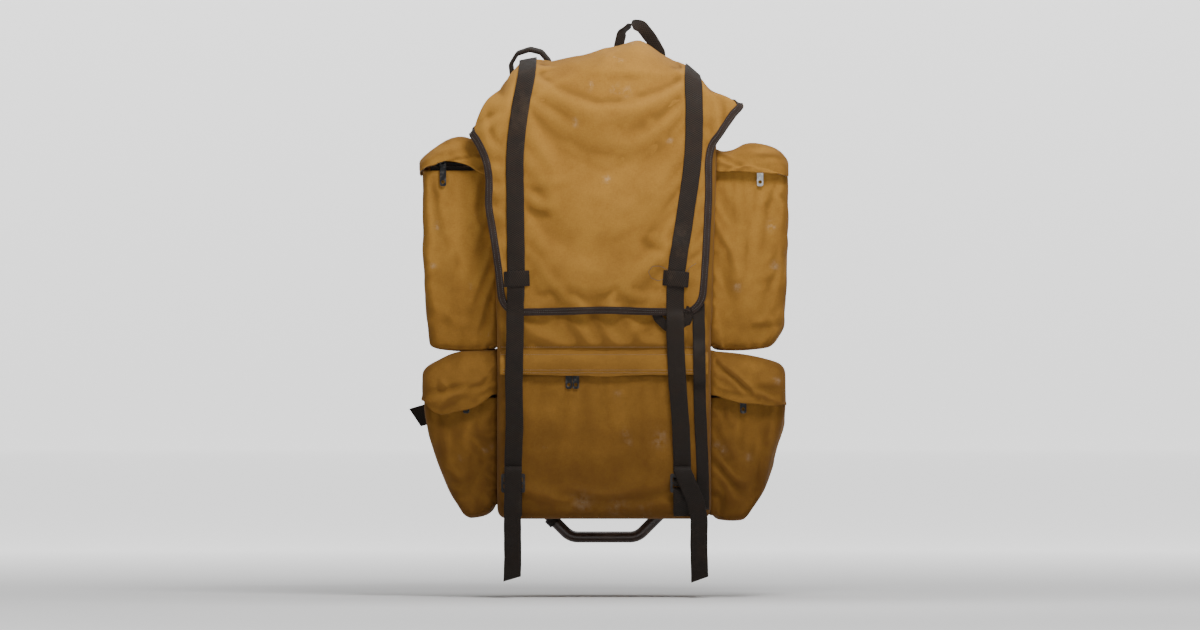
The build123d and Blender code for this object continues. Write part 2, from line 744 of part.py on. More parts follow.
with BuildPart() as hood_seams:
    # the strips of cloth that a hood is sewn to, on the bag's sides
    hood_mid, hood_depth = span(POCKET_FRONT - HOOD_LIFT, POCKET_BACK + HOOD_LIFT)
    for pocket in POCKETS.values():
        with BuildSketch(Plane.XY.offset(pocket["crown"] - 8)):
            for sign in SIDES.values():
                with Locations((sign * (BAG_HALF + HOOD_INNER - 0.5) / 2, hood_mid)):
                    Rectangle(HOOD_INNER - 0.5 - BAG_HALF, hood_depth)
        extrude(amount=8)
save(hood_seams, "hood_seams")

# ---------------------------------------------------------------- loops on the frame
with BuildPart() as haul_loop:
    for x in (31, 63.5):
        with BuildSketch(Plane.YZ.offset(x)):
            with Locations((FRAME_Y, TOP_BAR_Z)):
                Circle(TUBE_R + 2.3)
            with Locations((FRAME_Y + TUBE_R + 1.3, TOP_BAR_Z + 8)):
                Rectangle(2, 16)
            with Locations((FRAME_Y, TOP_BAR_Z)):
                Circle(TUBE_R + 0.3, mode=Mode.SUBTRACT)
        extrude(amount=8, both=True)
    with BuildSketch(front_plane(FRAME_Y + TUBE_R + 2.3)):
        with Locations((53.5, TOP_BAR_Z + 46)):
            RectangleRounded(71, 66, 30)
            RectangleRounded(25, 26, 12, mode=Mode.SUBTRACT)
        with Locations((53.5, TOP_BAR_Z + 22)):
            Rectangle(20, 44, mode=Mode.SUBTRACT)
    extrude(amount=2)
save(haul_loop, "haul_loop")

with BuildPart() as frame_lug_loop:
    with BuildSketch(Plane(origin=(-73, FRAME_Y, 33), x_dir=(0, 1, 0), z_dir=(1, 0, -1))):
        Circle(TUBE_R + 2.4)
        Circle(TUBE_R + 0.05, mode=Mode.SUBTRACT)
    extrude(amount=6, both=True)
save(frame_lug_loop, "frame_lug_loop")

# ---------------------------------------------------------------- harness
TAB_Z = 1.0  # half a tab's thickness
RIVET_R = 2.5
RIVET_HEAD_R = 4.5
TAB_MARGIN = 6.0  # past the rivet, short enough to clear a swung strap's bend
with BuildPart() as harness_anchors:
    tab_mid, tab_length = span(FRAME_Y, HARNESS_Y + TAB_MARGIN)
    for height, top in zip(CROSSBAR_HEIGHTS, (-1, 1)):
        for sign in SIDES.values():
            with BuildSketch(Plane.YZ.offset(sign * HARNESS_X)):
                with Locations((FRAME_Y, height)):
                    Circle(CROSSBAR_R + 2)
                with Locations((tab_mid, height)):
                    Rectangle(tab_length, 2 * TAB_Z)
                with Locations((FRAME_Y, height)):
                    Circle(CROSSBAR_R + 0.02, mode=Mode.SUBTRACT)
            extrude(amount=WEB / 2, both=True)
            with Locations((sign * HARNESS_X, HARNESS_Y, height + top * 2)):
                Cylinder(RIVET_R, 6)
            with Locations((sign * HARNESS_X, HARNESS_Y, height + top * 5.5)):
                Cylinder(RIVET_HEAD_R, 1.2)
save(harness_anchors, "harness_anchors")

WEB_ROUTE = [  # y, z of the shoulder webbing from its upper to its lower rivet
    (HARNESS_Y - 8, 563.2),
    (HARNESS_Y + 22, 563.2),
    (96, 540),
    (106, 470),
    (104, 400),
    (88, 320),
    (66, 226),
    (HARNESS_Y + 14, 201.8),
    (HARNESS_Y - 8, 201.8),
]
PAD_ROUTE = [(74, 554.8), (96, 540), (106, 470), (104, 400), (90, 330)]


def side_band(x, route, width, thick):
    """A band of even thickness that follows a route in the YZ plane."""
    with BuildPart() as band:
        with BuildSketch(Plane.YZ.offset(x)):
            with BuildLine():
                FilletPolyline(*route, radius=9)
            trace(line_width=thick)
        extrude(amount=width / 2, both=True)
    return band


for side, sign in SIDES.items():
    x = sign * HARNESS_X
    webbing = side_band(x, WEB_ROUTE, WEB, WEB_THICK)
    tunnel = side_band(x, WEB_ROUTE, WEB + 0.2, WEB_THICK + 0.2)
    cushion = side_band(x, PAD_ROUTE, STRAP_PAD, PAD_THICK)
    with BuildPart() as web:
        add(webbing.part)
        for height in CROSSBAR_HEIGHTS:
            with BuildSketch(Plane.XY.offset(height - 8)):
                with Locations((x, HARNESS_Y)):
                    Circle(RIVET_R + 0.4)
            extrude(amount=16, mode=Mode.SUBTRACT)
    save(web, f"shoulder_{side}_web")
    with BuildPart() as pad:
        add(cushion.part)
        add(tunnel.part, mode=Mode.SUBTRACT)
    save(pad, f"shoulder_{side}_pad")


def hip_belt(sign, reach):
    """Belt webbing that turns on a frame rail and slopes down to a cut end."""
    ring = TUBE_R + 0.3
    with BuildPart() as belt:
        with BuildSketch(Plane.XY.offset(BELT_Z - BELT_WEB / 2)):
            with Locations((sign * RAIL_X, FRAME_Y)):
                Circle(ring + BELT_THICK)
                Circle(ring, mode=Mode.SUBTRACT)
        extrude(amount=BELT_WEB)
        with BuildSketch(front_plane(FRAME_Y + ring + BELT_THICK)):
            with BuildLine():
                drop = 0.3 * (reach - RAIL_X)
                Polyline(
                    (sign * RAIL_X, BELT_Z + BELT_WEB / 2),
                    (sign * (RAIL_X + 14), BELT_Z + BELT_WEB / 2),
                    (sign * reach, BELT_Z + BELT_WEB / 2 - drop),
                    (sign * (reach - 9), BELT_Z - BELT_WEB / 2 - drop),
                    (sign * (RAIL_X + 6), BELT_Z - BELT_WEB / 2),
                    (sign * RAIL_X, BELT_Z - BELT_WEB / 2),
                    close=True,
                )
            make_face()
        extrude(amount=BELT_THICK)
    return belt


save(hip_belt(-1, 273.0), "hip_belt_left")
save(hip_belt(1, 240.0), "hip_belt_right")
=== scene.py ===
"""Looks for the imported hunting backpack: canvas shells, webbing, zips, paint, light and camera.

Lengths are millimetres until place() puts them in the row frame. In them X runs to the viewer's
right, Y from the bag's back panel (0) forwards to its front (negative), and Z up from the frame's foot.
"""

import math

import bmesh
import bpy
import numpy as np
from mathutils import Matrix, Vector, noise
from mathutils.bvhtree import BVHTree


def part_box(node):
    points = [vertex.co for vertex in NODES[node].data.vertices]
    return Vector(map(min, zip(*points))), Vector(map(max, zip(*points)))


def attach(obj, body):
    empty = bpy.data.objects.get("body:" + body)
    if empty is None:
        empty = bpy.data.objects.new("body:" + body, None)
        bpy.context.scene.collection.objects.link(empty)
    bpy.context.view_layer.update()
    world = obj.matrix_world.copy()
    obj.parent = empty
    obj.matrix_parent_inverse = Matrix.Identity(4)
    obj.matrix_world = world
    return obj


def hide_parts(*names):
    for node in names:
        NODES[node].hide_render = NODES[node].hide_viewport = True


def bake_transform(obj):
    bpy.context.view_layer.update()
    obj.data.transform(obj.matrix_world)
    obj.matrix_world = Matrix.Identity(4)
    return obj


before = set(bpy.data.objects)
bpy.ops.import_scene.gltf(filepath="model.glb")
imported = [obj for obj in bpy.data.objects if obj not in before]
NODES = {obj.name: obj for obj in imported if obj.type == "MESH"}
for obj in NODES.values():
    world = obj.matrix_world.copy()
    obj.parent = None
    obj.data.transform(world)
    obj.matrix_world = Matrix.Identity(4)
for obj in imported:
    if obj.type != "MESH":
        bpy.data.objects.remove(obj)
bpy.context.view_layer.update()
ORIGIN = np.array([0.0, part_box("bag_back_panel")[1].y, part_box("frame_lower_bend")[0].z])


def place(points):
    """Millimetres from the frame's foot and the back panel to metres in the row frame."""
    return np.asarray(points, float) * 0.001 + ORIGIN


def box_mm(node):
    """A CAD node's lowest and highest corner in this file's millimetres."""
    return [(np.array(corner) - ORIGIN) * 1000 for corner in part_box(node)]


BAG_LO, BAG_HI = box_mm("bag_back_panel")
FRONT = box_mm("bag_lower_front")[0][1]
MOUTH = box_mm("mouth_hem")[1][2]
EDGE_Z = box_mm("lid")[0][2]
TAGS = {-1: "left", 1: "right"}


# ---------------------------------------------------------------- small maths
def unit(v):
    v = np.asarray(v, float)
    return v / np.maximum(np.linalg.norm(v, axis=-1, keepdims=True), 1e-9)


def smooth(a, b, x):
    t = np.clip((np.asarray(x, float) - a) / (b - a), 0, 1)
    return t * t * (3 - 2 * t)


def table(x, *pairs):
    """Smooth interpolation through x, value pairs."""
    xs, ys = np.array(pairs, float).T
    x = np.clip(np.asarray(x, float), xs[0], xs[-1])
    i = np.clip(np.searchsorted(xs, x) - 1, 0, len(xs) - 2)
    slope = np.gradient(ys, xs)
    h = xs[i + 1] - xs[i]
    t = (x - xs[i]) / h
    a = (1 + 2 * t) * (1 - t) ** 2 * ys[i] + t * (1 - t) ** 2 * h * slope[i]
    return a + t * t * (3 - 2 * t) * ys[i + 1] + t * t * (t - 1) * h * slope[i + 1]


def run_length(points):
    """How far along a polyline each of its points is."""
    return np.concatenate([[0], np.cumsum(np.linalg.norm(np.diff(points, axis=0), axis=1))])


def resample(points, along, want):
    """A polyline's points at the distances in want; along is its run_length."""
    return np.stack([np.interp(want, along, points[:, k]) for k in range(points.shape[1])], -1)


def bumps(points, size, seed=0.0, octaves=2):
    """Smooth noise, about -1 to 1, whose features are about size mm wide."""
    flat = np.asarray(points, float).reshape(-1, 3) / size + seed * 7.31
    out = np.zeros(len(flat))
    for k in range(octaves):
        out += [noise.noise(Vector(p * 2.0**k)) * 0.6**k for p in flat]
    return out.reshape(np.shape(points)[:-1])


def fold(x, z, ax, az, bx, bz, width, depth):
    """A crease from (ax, az) to (bx, bz), fading at both ends: its height at x, z."""
    d = np.array([bx - ax, bz - az], float)
    length = np.hypot(*d)
    d /= length
    along = (x - ax) * d[0] + (z - az) * d[1]
    off = -(x - ax) * d[1] + (z - az) * d[0]
    off = off + 0.12 * length * np.sin(along / length * 2.6 + ax)
    fade = smooth(-0.15 * length, 0.35 * length, along) * (1 - smooth(0.6 * length, 1.15 * length, along))
    s = off / width
    return depth * fade * (np.exp(-s * s) - 0.55 * np.exp(-((s - 1.5) ** 2)))


# ---------------------------------------------------------------- meshes
def mesh(name, points, faces, material, uv=None):
    """A mesh object from millimetre points; uv is per point, in metres."""
    data = bpy.data.meshes.new(name)
    data.from_pydata(place(points).tolist(), [], faces)
    data.polygons.foreach_set("use_smooth", [True] * len(data.polygons))
    if uv is not None:
        layer = data.uv_layers.new(name="UVMap")
        index = np.zeros(len(data.loops), int)
        data.loops.foreach_get("vertex_index", index)
        layer.data.foreach_set("uv", (np.asarray(uv)[index] * 0.001).ravel())
    obj = bpy.data.objects.new(name, data)
    bpy.context.scene.collection.objects.link(obj)
    data.materials.append(material)
    return obj


def quads(rows, cols, closed=False, start=0):
    """Faces of a grid of points stored row after row."""
    last = cols if closed else cols - 1
    return [
        (
            start + r * cols + c,
            start + r * cols + (c + 1) % cols,
            start + (r + 1) * cols + (c + 1) % cols,
            start + (r + 1) * cols + c,
        )
        for r in range(rows - 1)
        for c in range(last)
    ]


def grid(name, points, material, closed=False, cap=False, flip=False):
    """A sheet from a rows x cols array of points. cap closes the first row over."""
    rows, cols = points.shape[:2]
    flat = points.reshape(-1, 3)
    across = np.linalg.norm(np.diff(points, axis=1), axis=2).mean(0)
    down = np.linalg.norm(np.diff(points, axis=0), axis=2).mean(1)
    u = np.concatenate([[0], np.cumsum(across)])
    v = np.concatenate([[0], np.cumsum(down)])
    uv = np.stack(np.meshgrid(u, v), -1).reshape(-1, 2)
    faces = quads(rows, cols, closed)
    if cap:
        flat = np.vstack([flat, points[0].mean(0)])
        uv = np.vstack([uv, [0, 0]])
        faces += [(len(flat) - 1, (c + 1) % cols, c) for c in range(cols)]
    if flip:
        faces = [f[::-1] for f in faces]
    return mesh(name, flat, faces, material, uv)


def coords(obj):
    out = np.zeros(len(obj.data.vertices) * 3)
    obj.data.vertices.foreach_get("co", out)
    return (out.reshape(-1, 3) - ORIGIN) * 1000


def set_coords(obj, points):
    obj.data.vertices.foreach_set("co", place(points).ravel())
    obj.data.update()


def normals(obj):
    out = np.zeros(len(obj.data.vertices) * 3)
    obj.data.vertices.foreach_get("normal", out)
    return out.reshape(-1, 3)


def bake(obj):
    """Applies an object's modifiers."""
    graph = bpy.context.evaluated_depsgraph_get()
    data = bpy.data.meshes.new_from_object(obj.evaluated_get(graph))
    obj.modifiers.clear()
    obj.data = data


def finish_cloth(obj, thick=1.2, subdivide=True, offset=-1.0):
    """Rounds a sheet, notes its ridges and hollows for the material, and gives it thickness."""
    if subdivide:
        obj.modifiers.new("round", "SUBSURF").levels = 1
        bake(obj)
    note_relief(obj)
    solid = obj.modifiers.new("thick", "SOLIDIFY")
    solid.thickness = thick * 0.001
    solid.offset = offset
    bake(obj)
    obj.data.polygons.foreach_set("use_smooth", [True] * len(obj.data.polygons))


def note_relief(obj):
    """Stores how far each point stands out of its neighbourhood, as the attribute relief."""
    data = obj.data
    co = coords(obj)
    edges = np.zeros(len(data.edges) * 2, int)
    data.edges.foreach_get("vertices", edges)
    a, b = edges.reshape(-1, 2).T
    count = np.bincount(a, minlength=len(co)) + np.bincount(b, minlength=len(co))
    average = co.copy()
    for _ in range(6):
        total = np.zeros_like(co)
        for k in range(3):
            total[:, k] = np.bincount(a, average[b, k], len(co)) + np.bincount(b, average[a, k], len(co))
        average = total / np.maximum(count, 1)[:, None]
    out = ((co - average) * normals(obj)).sum(1)
    layer = data.attributes.new("relief", "FLOAT", "POINT")
    layer.data.foreach_set("value", np.clip(out / 1.2, -1, 1).astype(np.float32))


CLOTHS = []


def cloth(obj, pins, pressure=2.0, gravity=0.4, grow=0.02, bend=4.0, cap=12.0, mass=0.25):
    """Queues obj for the cloth simulation. pins holds 1 where it is sewn down and 0 where it is free."""
    CLOTHS.append(
        dict(obj=obj, pins=pins, pressure=pressure, gravity=gravity, grow=grow, bend=bend, cap=cap, mass=mass)
    )


def run_cloths(frames=18):
    """Simulates every queued cloth in one run, then keeps the capped result as plain meshes."""
    for c in CLOTHS:
        obj = c["obj"]
        group = obj.vertex_groups.new(name="pins")
        weights = np.round(np.clip(c["pins"], 0, 1), 1)
        for w in np.unique(weights):
            group.add(np.flatnonzero(weights == w).tolist(), float(w), "REPLACE")
        settings = obj.modifiers.new("cloth", "CLOTH").settings
        settings.quality = 6
        settings.mass = c["mass"]
        settings.tension_stiffness = settings.compression_stiffness = 15
        settings.shear_stiffness = 8
        settings.bending_stiffness = c["bend"]
        settings.vertex_group_mass = "pins"
        settings.use_pressure = True
        settings.uniform_pressure_force = c["pressure"]
        settings.shrink_min = -c["grow"]
        settings.effector_weights.gravity = c["gravity"]
    scene = bpy.context.scene
    for f in range(1, frames + 1):
        scene.frame_set(f)
    graph = bpy.context.evaluated_depsgraph_get()
    for c in CLOTHS:
        obj = c["obj"]
        rest = coords(obj)
        shown = obj.evaluated_get(graph)
        data = shown.to_mesh()
        out = np.zeros(len(data.vertices) * 3)
        data.vertices.foreach_get("co", out)
        shown.to_mesh_clear()
        move = (out.reshape(-1, 3) - ORIGIN) * 1000 - rest
        size = np.linalg.norm(move, axis=1, keepdims=True)
        move *= np.minimum(1, c["cap"] / np.maximum(size, 1e-6))
        c["result"] = rest + move
    for c in CLOTHS:
        c["obj"].modifiers.clear()
        c["obj"].vertex_groups.clear()
        set_coords(c["obj"], c["result"])
    scene.frame_set(1)
    CLOTHS.clear()


def rounded_loop(x0, x1, y0, y1, radius, count, inner=None):
    """Evenly spaced points round a rounded rectangle, from the middle of its back.

    inner is the radius of the two corners at x0, where it differs."""
    r = min(radius, (x1 - x0) / 2 - 0.1, (y1 - y0) / 2 - 0.1)
    q = r if inner is None else inner
    outline = [((x0 + x1) / 2, y1)]
    corners = (
        (x1 - r, y1 - r, 90, r), (x1 - r, y0 + r, 0, r), (x0 + q, y0 + q, -90, q), (x0 + q, y1 - q, -180, q),
    )
    for cx, cy, a, w in corners:
        turn = [math.radians(a - k * 15) for k in range(7)]
        outline += [(cx + w * math.cos(b), cy + w * math.sin(b)) for b in turn]
    outline = np.array(outline + outline[:1])
    along = run_length(outline)
    want = np.linspace(0, along[-1], count, endpoint=False)
    return resample(outline, along, want)


def pouch(shape, heights, radius, edge, count, inner=None):
    """Rows of points for an open bag: shape(z) gives x0, x1, y0, y1. edge rounds the bottom.

    inner makes its x0 side flat, as on a pocket whose inner edge is sewn to the bag."""
    rows = []
    bottom = heights[0]

    def ring(z, inset):
        x0, x1, y0, y1 = shape(z)
        near = x0 + (inset if inner is None else 0)
        return rounded_loop(near, x1 - inset, y0 + inset, y1 - inset, max(radius - inset, 3), count, inner)

    base = ring(bottom, edge)
    middle = base.mean(0)
    for f in (0.35, 0.6, 0.8, 0.92):
        rows.append(np.column_stack([(base - middle) * f + middle, np.full(count, bottom)]))
    for a in np.radians(np.linspace(0, 90, 5)[:-1]):
        z = bottom + edge * (1 - math.cos(a))
        rows.append(np.column_stack([ring(z, edge * (1 - math.sin(a))), np.full(count, z)]))
    for z in heights[1:]:
        rows.append(np.column_stack([ring(z, 0), np.full(count, z)]))
    return np.array(rows)


# ---------------------------------------------------------------- ribbons of webbing and tape
def route(points, step=4.0):
    """An even polyline through key points, rounded at them."""
    keys = np.asarray(points, float)
    along = run_length(keys)
    fine = np.linspace(0, along[-1], max(8, int(along[-1] / (step / 3))))
    line = resample(keys, along, fine)
    for _ in range(10):
        line[1:-1] = (line[:-2] + 2 * line[1:-1] + line[2:]) / 4
    along = run_length(line)
    want = np.linspace(0, along[-1], max(4, int(along[-1] / step)))
    return resample(line, along, want)


def ribbon(name, path, across, width, thick, material, belly=0.25, slant=0.0):
    """A woven strip along path. across points over its width; slant cuts its far end at an angle."""
    path = np.asarray(path, float)
    n = len(path)
    tangent = unit(np.gradient(path, axis=0))
    across = np.broadcast_to(np.asarray(across, float), path.shape)
    across = unit(across - (across * tangent).sum(1, keepdims=True) * tangent)
    out = np.cross(tangent, across)
    cols = np.array([-1, -0.96, -0.8, -0.5, -0.17, 0.17, 0.5, 0.8, 0.96, 1.0])
    high = thick / 2 * np.array([0.35, 0.8, 1, 1, 1, 1, 1, 1, 0.8, 0.35])
    profile = [(c * width / 2, h) for c, h in zip(cols, high)]
    profile += [(c * width / 2, -h) for c, h in zip(cols[::-1], high[::-1])]
    width_noise = np.array([noise.noise(Vector((k * 0.31, width, thick))) for k in range(n)])
    along = run_length(path)
    points, uv = [], []
    for s, h in profile:
        edge = s + np.sign(s) * width_noise * 0.35 * (abs(s) > 0.45 * width)
        shift = slant * (s / width + 0.5) * smooth(along[-1] - 2.5 * abs(slant) - 1, along[-1], along)
        cup = belly * (1 - (2 * s / width) ** 2)
        points.append(path + across * edge[:, None] + out * (h + cup) + tangent * shift[:, None])
        uv.append(np.column_stack([np.full(n, s), along + shift]))
    points = np.array(points).transpose(1, 0, 2)
    uv = np.array(uv).transpose(1, 0, 2)
    m = len(profile)
    faces = quads(n, m, closed=True)
    faces.append(tuple(range(m)))
    faces.append(tuple((n - 1) * m + k for k in reversed(range(m))))
    return mesh(name, points.reshape(-1, 3), faces, material, uv.reshape(-1, 2))


def threads(name, strands, radius, material, sides=4):
    """Thin round yarns along polylines, as one mesh."""
    points, faces = [], []
    for strand in strands:
        path = np.asarray(strand, float)
        tangent = unit(np.gradient(path, axis=0))
        helper = np.where(np.abs(tangent[:, 2:3]) > 0.9, [[1.0, 0, 0]], [[0, 0, 1.0]])
        a = unit(np.cross(tangent, helper))
        b = np.cross(tangent, a)
        start = len(points)
        for k in range(len(path)):
            for s in range(sides):
                angle = 2 * math.pi * s / sides
                points.append(path[k] + radius * (a[k] * math.cos(angle) + b[k] * math.sin(angle)))
        faces += quads(len(path), sides, closed=True, start=start)
        faces.append(tuple(start + s for s in range(sides)))
        faces.append(tuple(start + (len(path) - 1) * sides + s for s in reversed(range(sides))))
    return mesh(name, np.array(points), faces, material)


def stitches(name, lines, material, pitch=3.4, length=2.3, radius=0.28):
    """Runs of machine stitches that follow polylines lying on the cloth."""
    strands = []
    for line in lines:
        line = np.asarray(line, float)
        along = run_length(line)
        for start in np.arange(0, along[-1] - length, pitch):
            want = [start, start + length / 2, start + length]
            strands.append(resample(line, along, want))
    return threads(name, strands, radius, material)


class Skin:
    """Finds the surface of finished cloth, so that webbing and thread lie on it."""

    def __init__(self, *objs):
        points, faces = [], []
        for obj in objs:
            start = len(points)
            points += coords(obj).tolist()
            faces += [tuple(start + i for i in p.vertices) for p in obj.data.polygons]
        self.tree = BVHTree.FromPolygons(points, faces)

    def front(self, x, z, lift=0.0, guess=-205.0, start=-400.0):
        """The point that is hit looking back at x, z."""
        hit = self.tree.ray_cast(Vector((x, start, z)), Vector((0, 1, 0)))[0]
        return np.array([x, (hit.y if hit else guess) - lift, z])

    def line(self, pairs, lift=0.3, step=3.0):
        """A polyline over the front of the cloth through x, z pairs."""
        return np.array([self.front(x, z, lift) for x, z in route(pairs, step)])


# ---------------------------------------------------------------- materials
class Shader:
    """A small helper that builds one node material."""

    def __init__(self, name):
        self.material = bpy.data.materials.new(name)
        self.material.use_nodes = True
        self.tree = self.material.node_tree
        self.surface = self.tree.nodes["Principled BSDF"]

    def node(self, kind, **inputs):
        made = self.tree.nodes.new("ShaderNode" + kind)
        settings = {k: v for k, v in inputs.items() if k.islower() and hasattr(made, k)}
        for key, value in settings.items():
            setattr(made, key, value)
        for key, value in inputs.items():
            if key not in settings:
                self.put(made.inputs[key.replace("_", " ")], value)
        return made

    def put(self, socket, value):
        if hasattr(value, "outputs"):
            value = value.outputs[0]
        if isinstance(value, bpy.types.NodeSocket):
            self.tree.links.new(value, socket)
        elif isinstance(value, (tuple, list)) and len(value) == 3 and socket.type == "RGBA":
            socket.default_value = (*value, 1)
        else:
            socket.default_value = value

    def math(self, operation, a, b=0.0, clamp=False):
        made = self.tree.nodes.new("ShaderNodeMath")
        made.operation = operation
        made.use_clamp = clamp
        self.put(made.inputs[0], a)
        self.put(made.inputs[1], b)
        return made.outputs[0]

    def mix(self, factor, a, b, blend="MIX"):
        made = self.tree.nodes.new("ShaderNodeMix")
        made.data_type = "RGBA"
        made.blend_type = blend
        self.put(made.inputs["Factor"], factor)
        self.put(made.inputs[6], a)
        self.put(made.inputs[7], b)
        return made.outputs[2]

    def ramp(self, value, low, high, a=0.0, b=1.0):
        made = self.tree.nodes.new("ShaderNodeMapRange")
        for socket, v in zip(made.inputs, (value, low, high, a, b)):
            self.put(socket, v)
        return made.outputs[0]

    def noise(self, vector, scale, detail=3.0, roughness=0.55):
        made = self.node("TexNoise", Vector=vector, Scale=scale, Detail=detail, Roughness=roughness)
        return made.outputs["Fac"]

    def bump(self, height, distance, strength=1.0, normal=None):
        made = self.node("Bump", Height=height, Distance=distance, Strength=strength)
        if normal is not None:
            self.put(made.inputs["Normal"], normal)
        return made.outputs["Normal"]

    def done(self, **surface):
        for key, value in surface.items():
            self.put(self.surface.inputs[key.replace("_", " ")], value)
        return self.material


# metres between yarns of the canvas, and between woven columns of the webbing
WARP_PITCH, WEFT_PITCH, STRAP_COLUMN = 0.0011, 0.0013, 0.0052


def canvas_material(name, light, dark, stain=0.35):
    s = Shader(name)
    where = s.node("TexCoord").outputs["Object"]
    flat = s.node("TexCoord").outputs["UV"]
    relief = s.node("Attribute", attribute_name="relief").outputs["Fac"]
    broad = s.noise(where, 5.0, 4.0)
    patch = s.noise(where, 22.0, 5.0, 0.6)
    grain = s.noise(where, 420.0, 2.0, 0.7)
    # plain weave: two fine sets of yarns, uneven along their length
    u, v = (s.node("SeparateXYZ", Vector=flat).outputs[k] for k in (0, 1))
    slub = s.noise(s.node("Mapping", Vector=flat, Scale=(120.0, 1600.0, 1.0)), 1.0, 2.0)
    slub_down = s.noise(s.node("Mapping", Vector=flat, Scale=(1600.0, 120.0, 1.0)), 1.0, 2.0)
    warp = s.math("SINE", s.math("MULTIPLY", u, 2 * math.pi / WARP_PITCH))
    weft = s.math("SINE", s.math("MULTIPLY", v, 2 * math.pi / WEFT_PITCH))
    weave = s.math("MULTIPLY", warp, weft)
    tone = s.math("ADD", s.math("MULTIPLY", broad, 0.55), s.math("MULTIPLY", patch, 0.45))
    # painted light and shade: the cloth's ridges (relief) are made lighter and its hollows darker
    tone = s.math("ADD", tone, s.math("MULTIPLY", relief, 0.22))
    tone = s.math("ADD", tone, s.math("MULTIPLY", s.math("SUBTRACT", slub, 0.5), 0.28))
    tone = s.math("ADD", tone, s.math("MULTIPLY", s.math("SUBTRACT", slub_down, 0.5), 0.22))
    tone = s.math("ADD", tone, s.math("MULTIPLY", s.math("SUBTRACT", grain, 0.5), 0.3))
    colour = s.mix(s.ramp(tone, 0.3, 0.72), dark, light)
    # pale dried splashes and a few dark rubs
    drops = s.ramp(s.noise(where, 17.0, 6.0, 0.72), 0.66, 0.74)
    splash = s.math("MULTIPLY", drops, s.ramp(s.noise(where, 3.1, 2.0), 0.5, 0.6))
    spot = s.node("Attribute", attribute_name="spot").outputs["Fac"]
    spot = s.math("MULTIPLY", spot, s.ramp(s.noise(where, 95.0, 4.0, 0.7), 0.42, 0.66))
    pale = s.math("MULTIPLY", s.math("MAXIMUM", s.math("MULTIPLY", splash, 0.5), spot), stain)
    colour = s.mix(pale, colour, (0.62, 0.52, 0.38))
    rub = s.math("MULTIPLY", s.ramp(s.noise(where, 9.0, 6.0, 0.7), 0.6, 0.72), 0.25)
    colour = s.mix(rub, colour, tuple(0.55 * c for c in dark))
    # painted shade: the cloth's hollows are darkened as shade would darken them, and the lower half is darkened
    # towards the foot, standing in for the light falling off there
    crease = s.math("MULTIPLY", s.ramp(relief, -0.15, -0.7), 0.5)
    colour = s.mix(crease, colour, tuple(0.5 * c for c in dark))
    # painted shade: darker towards the foot, standing in for the light's falloff
    height_up = s.node("SeparateXYZ", Vector=where).outputs[2]
    foot_shade = s.math("ADD", height_up, s.math("MULTIPLY", s.math("SUBTRACT", patch, 0.5), 0.22))
    foot_shade = s.ramp(foot_shade, ORIGIN[2] + 0.46, ORIGIN[2] + 0.06, 0.0, 0.8)
    colour = s.mix(foot_shade, colour, (0.085, 0.034, 0.005))
    height = s.math("ADD", s.math("MULTIPLY", weave, 0.3), s.math("MULTIPLY", grain, 0.5))
    normal = s.bump(height, 0.00022, 0.55)
    normal = s.bump(s.noise(where, 60.0, 4.0, 0.6), 0.0012, 0.4, normal)
    rough = s.math("ADD", 0.74, s.math("MULTIPLY", patch, 0.2))
    return s.done(
        Base_Color=colour, Roughness=rough, Normal=normal, Sheen_Weight=0.04, Sheen_Roughness=0.5,
        Specular_IOR_Level=0.12,
    )


def webbing_material(name, light, dark, pitch=0.0031, gloss=0.6):
    s = Shader(name)
    where = s.node("TexCoord").outputs["Object"]
    flat = s.node("TexCoord").outputs["UV"]
    u, v = (s.node("SeparateXYZ", Vector=flat).outputs[k] for k in (0, 1))
    # ribs run across the strap, stepped between its woven columns
    column = s.math("SINE", s.math("MULTIPLY", u, 2 * math.pi / STRAP_COLUMN))
    step = s.math("MULTIPLY", s.math("SIGN", column), 0.25 * pitch)
    rib = s.math("SINE", s.math("MULTIPLY", s.math("ADD", v, step), 2 * math.pi / pitch))
    worn = s.noise(where, 38.0, 5.0, 0.65)
    fuzz = s.noise(where, 900.0, 2.0, 0.6)
    tone = s.math("ADD", s.math("MULTIPLY", rib, 0.3), s.math("ADD", worn, s.math("MULTIPLY", fuzz, 0.3)))
    colour = s.mix(s.ramp(tone, 0.4, 1.05), dark, light)
    dust = s.math("MULTIPLY", s.ramp(s.noise(where, 14.0, 6.0, 0.7), 0.56, 0.75), 0.28)
    colour = s.mix(dust, colour, (0.13, 0.085, 0.05))
    # painted shade: the webbing is darkened towards the foot, standing in for the light's falloff
    height_up = s.node("SeparateXYZ", Vector=where).outputs[2]
    foot_shade = s.ramp(height_up, ORIGIN[2] + 0.5, ORIGIN[2] + 0.1, 0.0, 0.6)
    colour = s.mix(foot_shade, colour, tuple(0.7 * c for c in dark))
    height = s.math("ADD", s.math("MULTIPLY", rib, 0.5), s.math("ADD", s.math("MULTIPLY", column, 0.15), fuzz))
    normal = s.bump(height, 0.0003, 0.7)
    return s.done(
        Base_Color=colour, Roughness=s.ramp(worn, 0.3, 0.7, gloss - 0.1, gloss + 0.2), Normal=normal,
        Sheen_Weight=0.06, Sheen_Roughness=0.4, Specular_IOR_Level=0.2,
    )


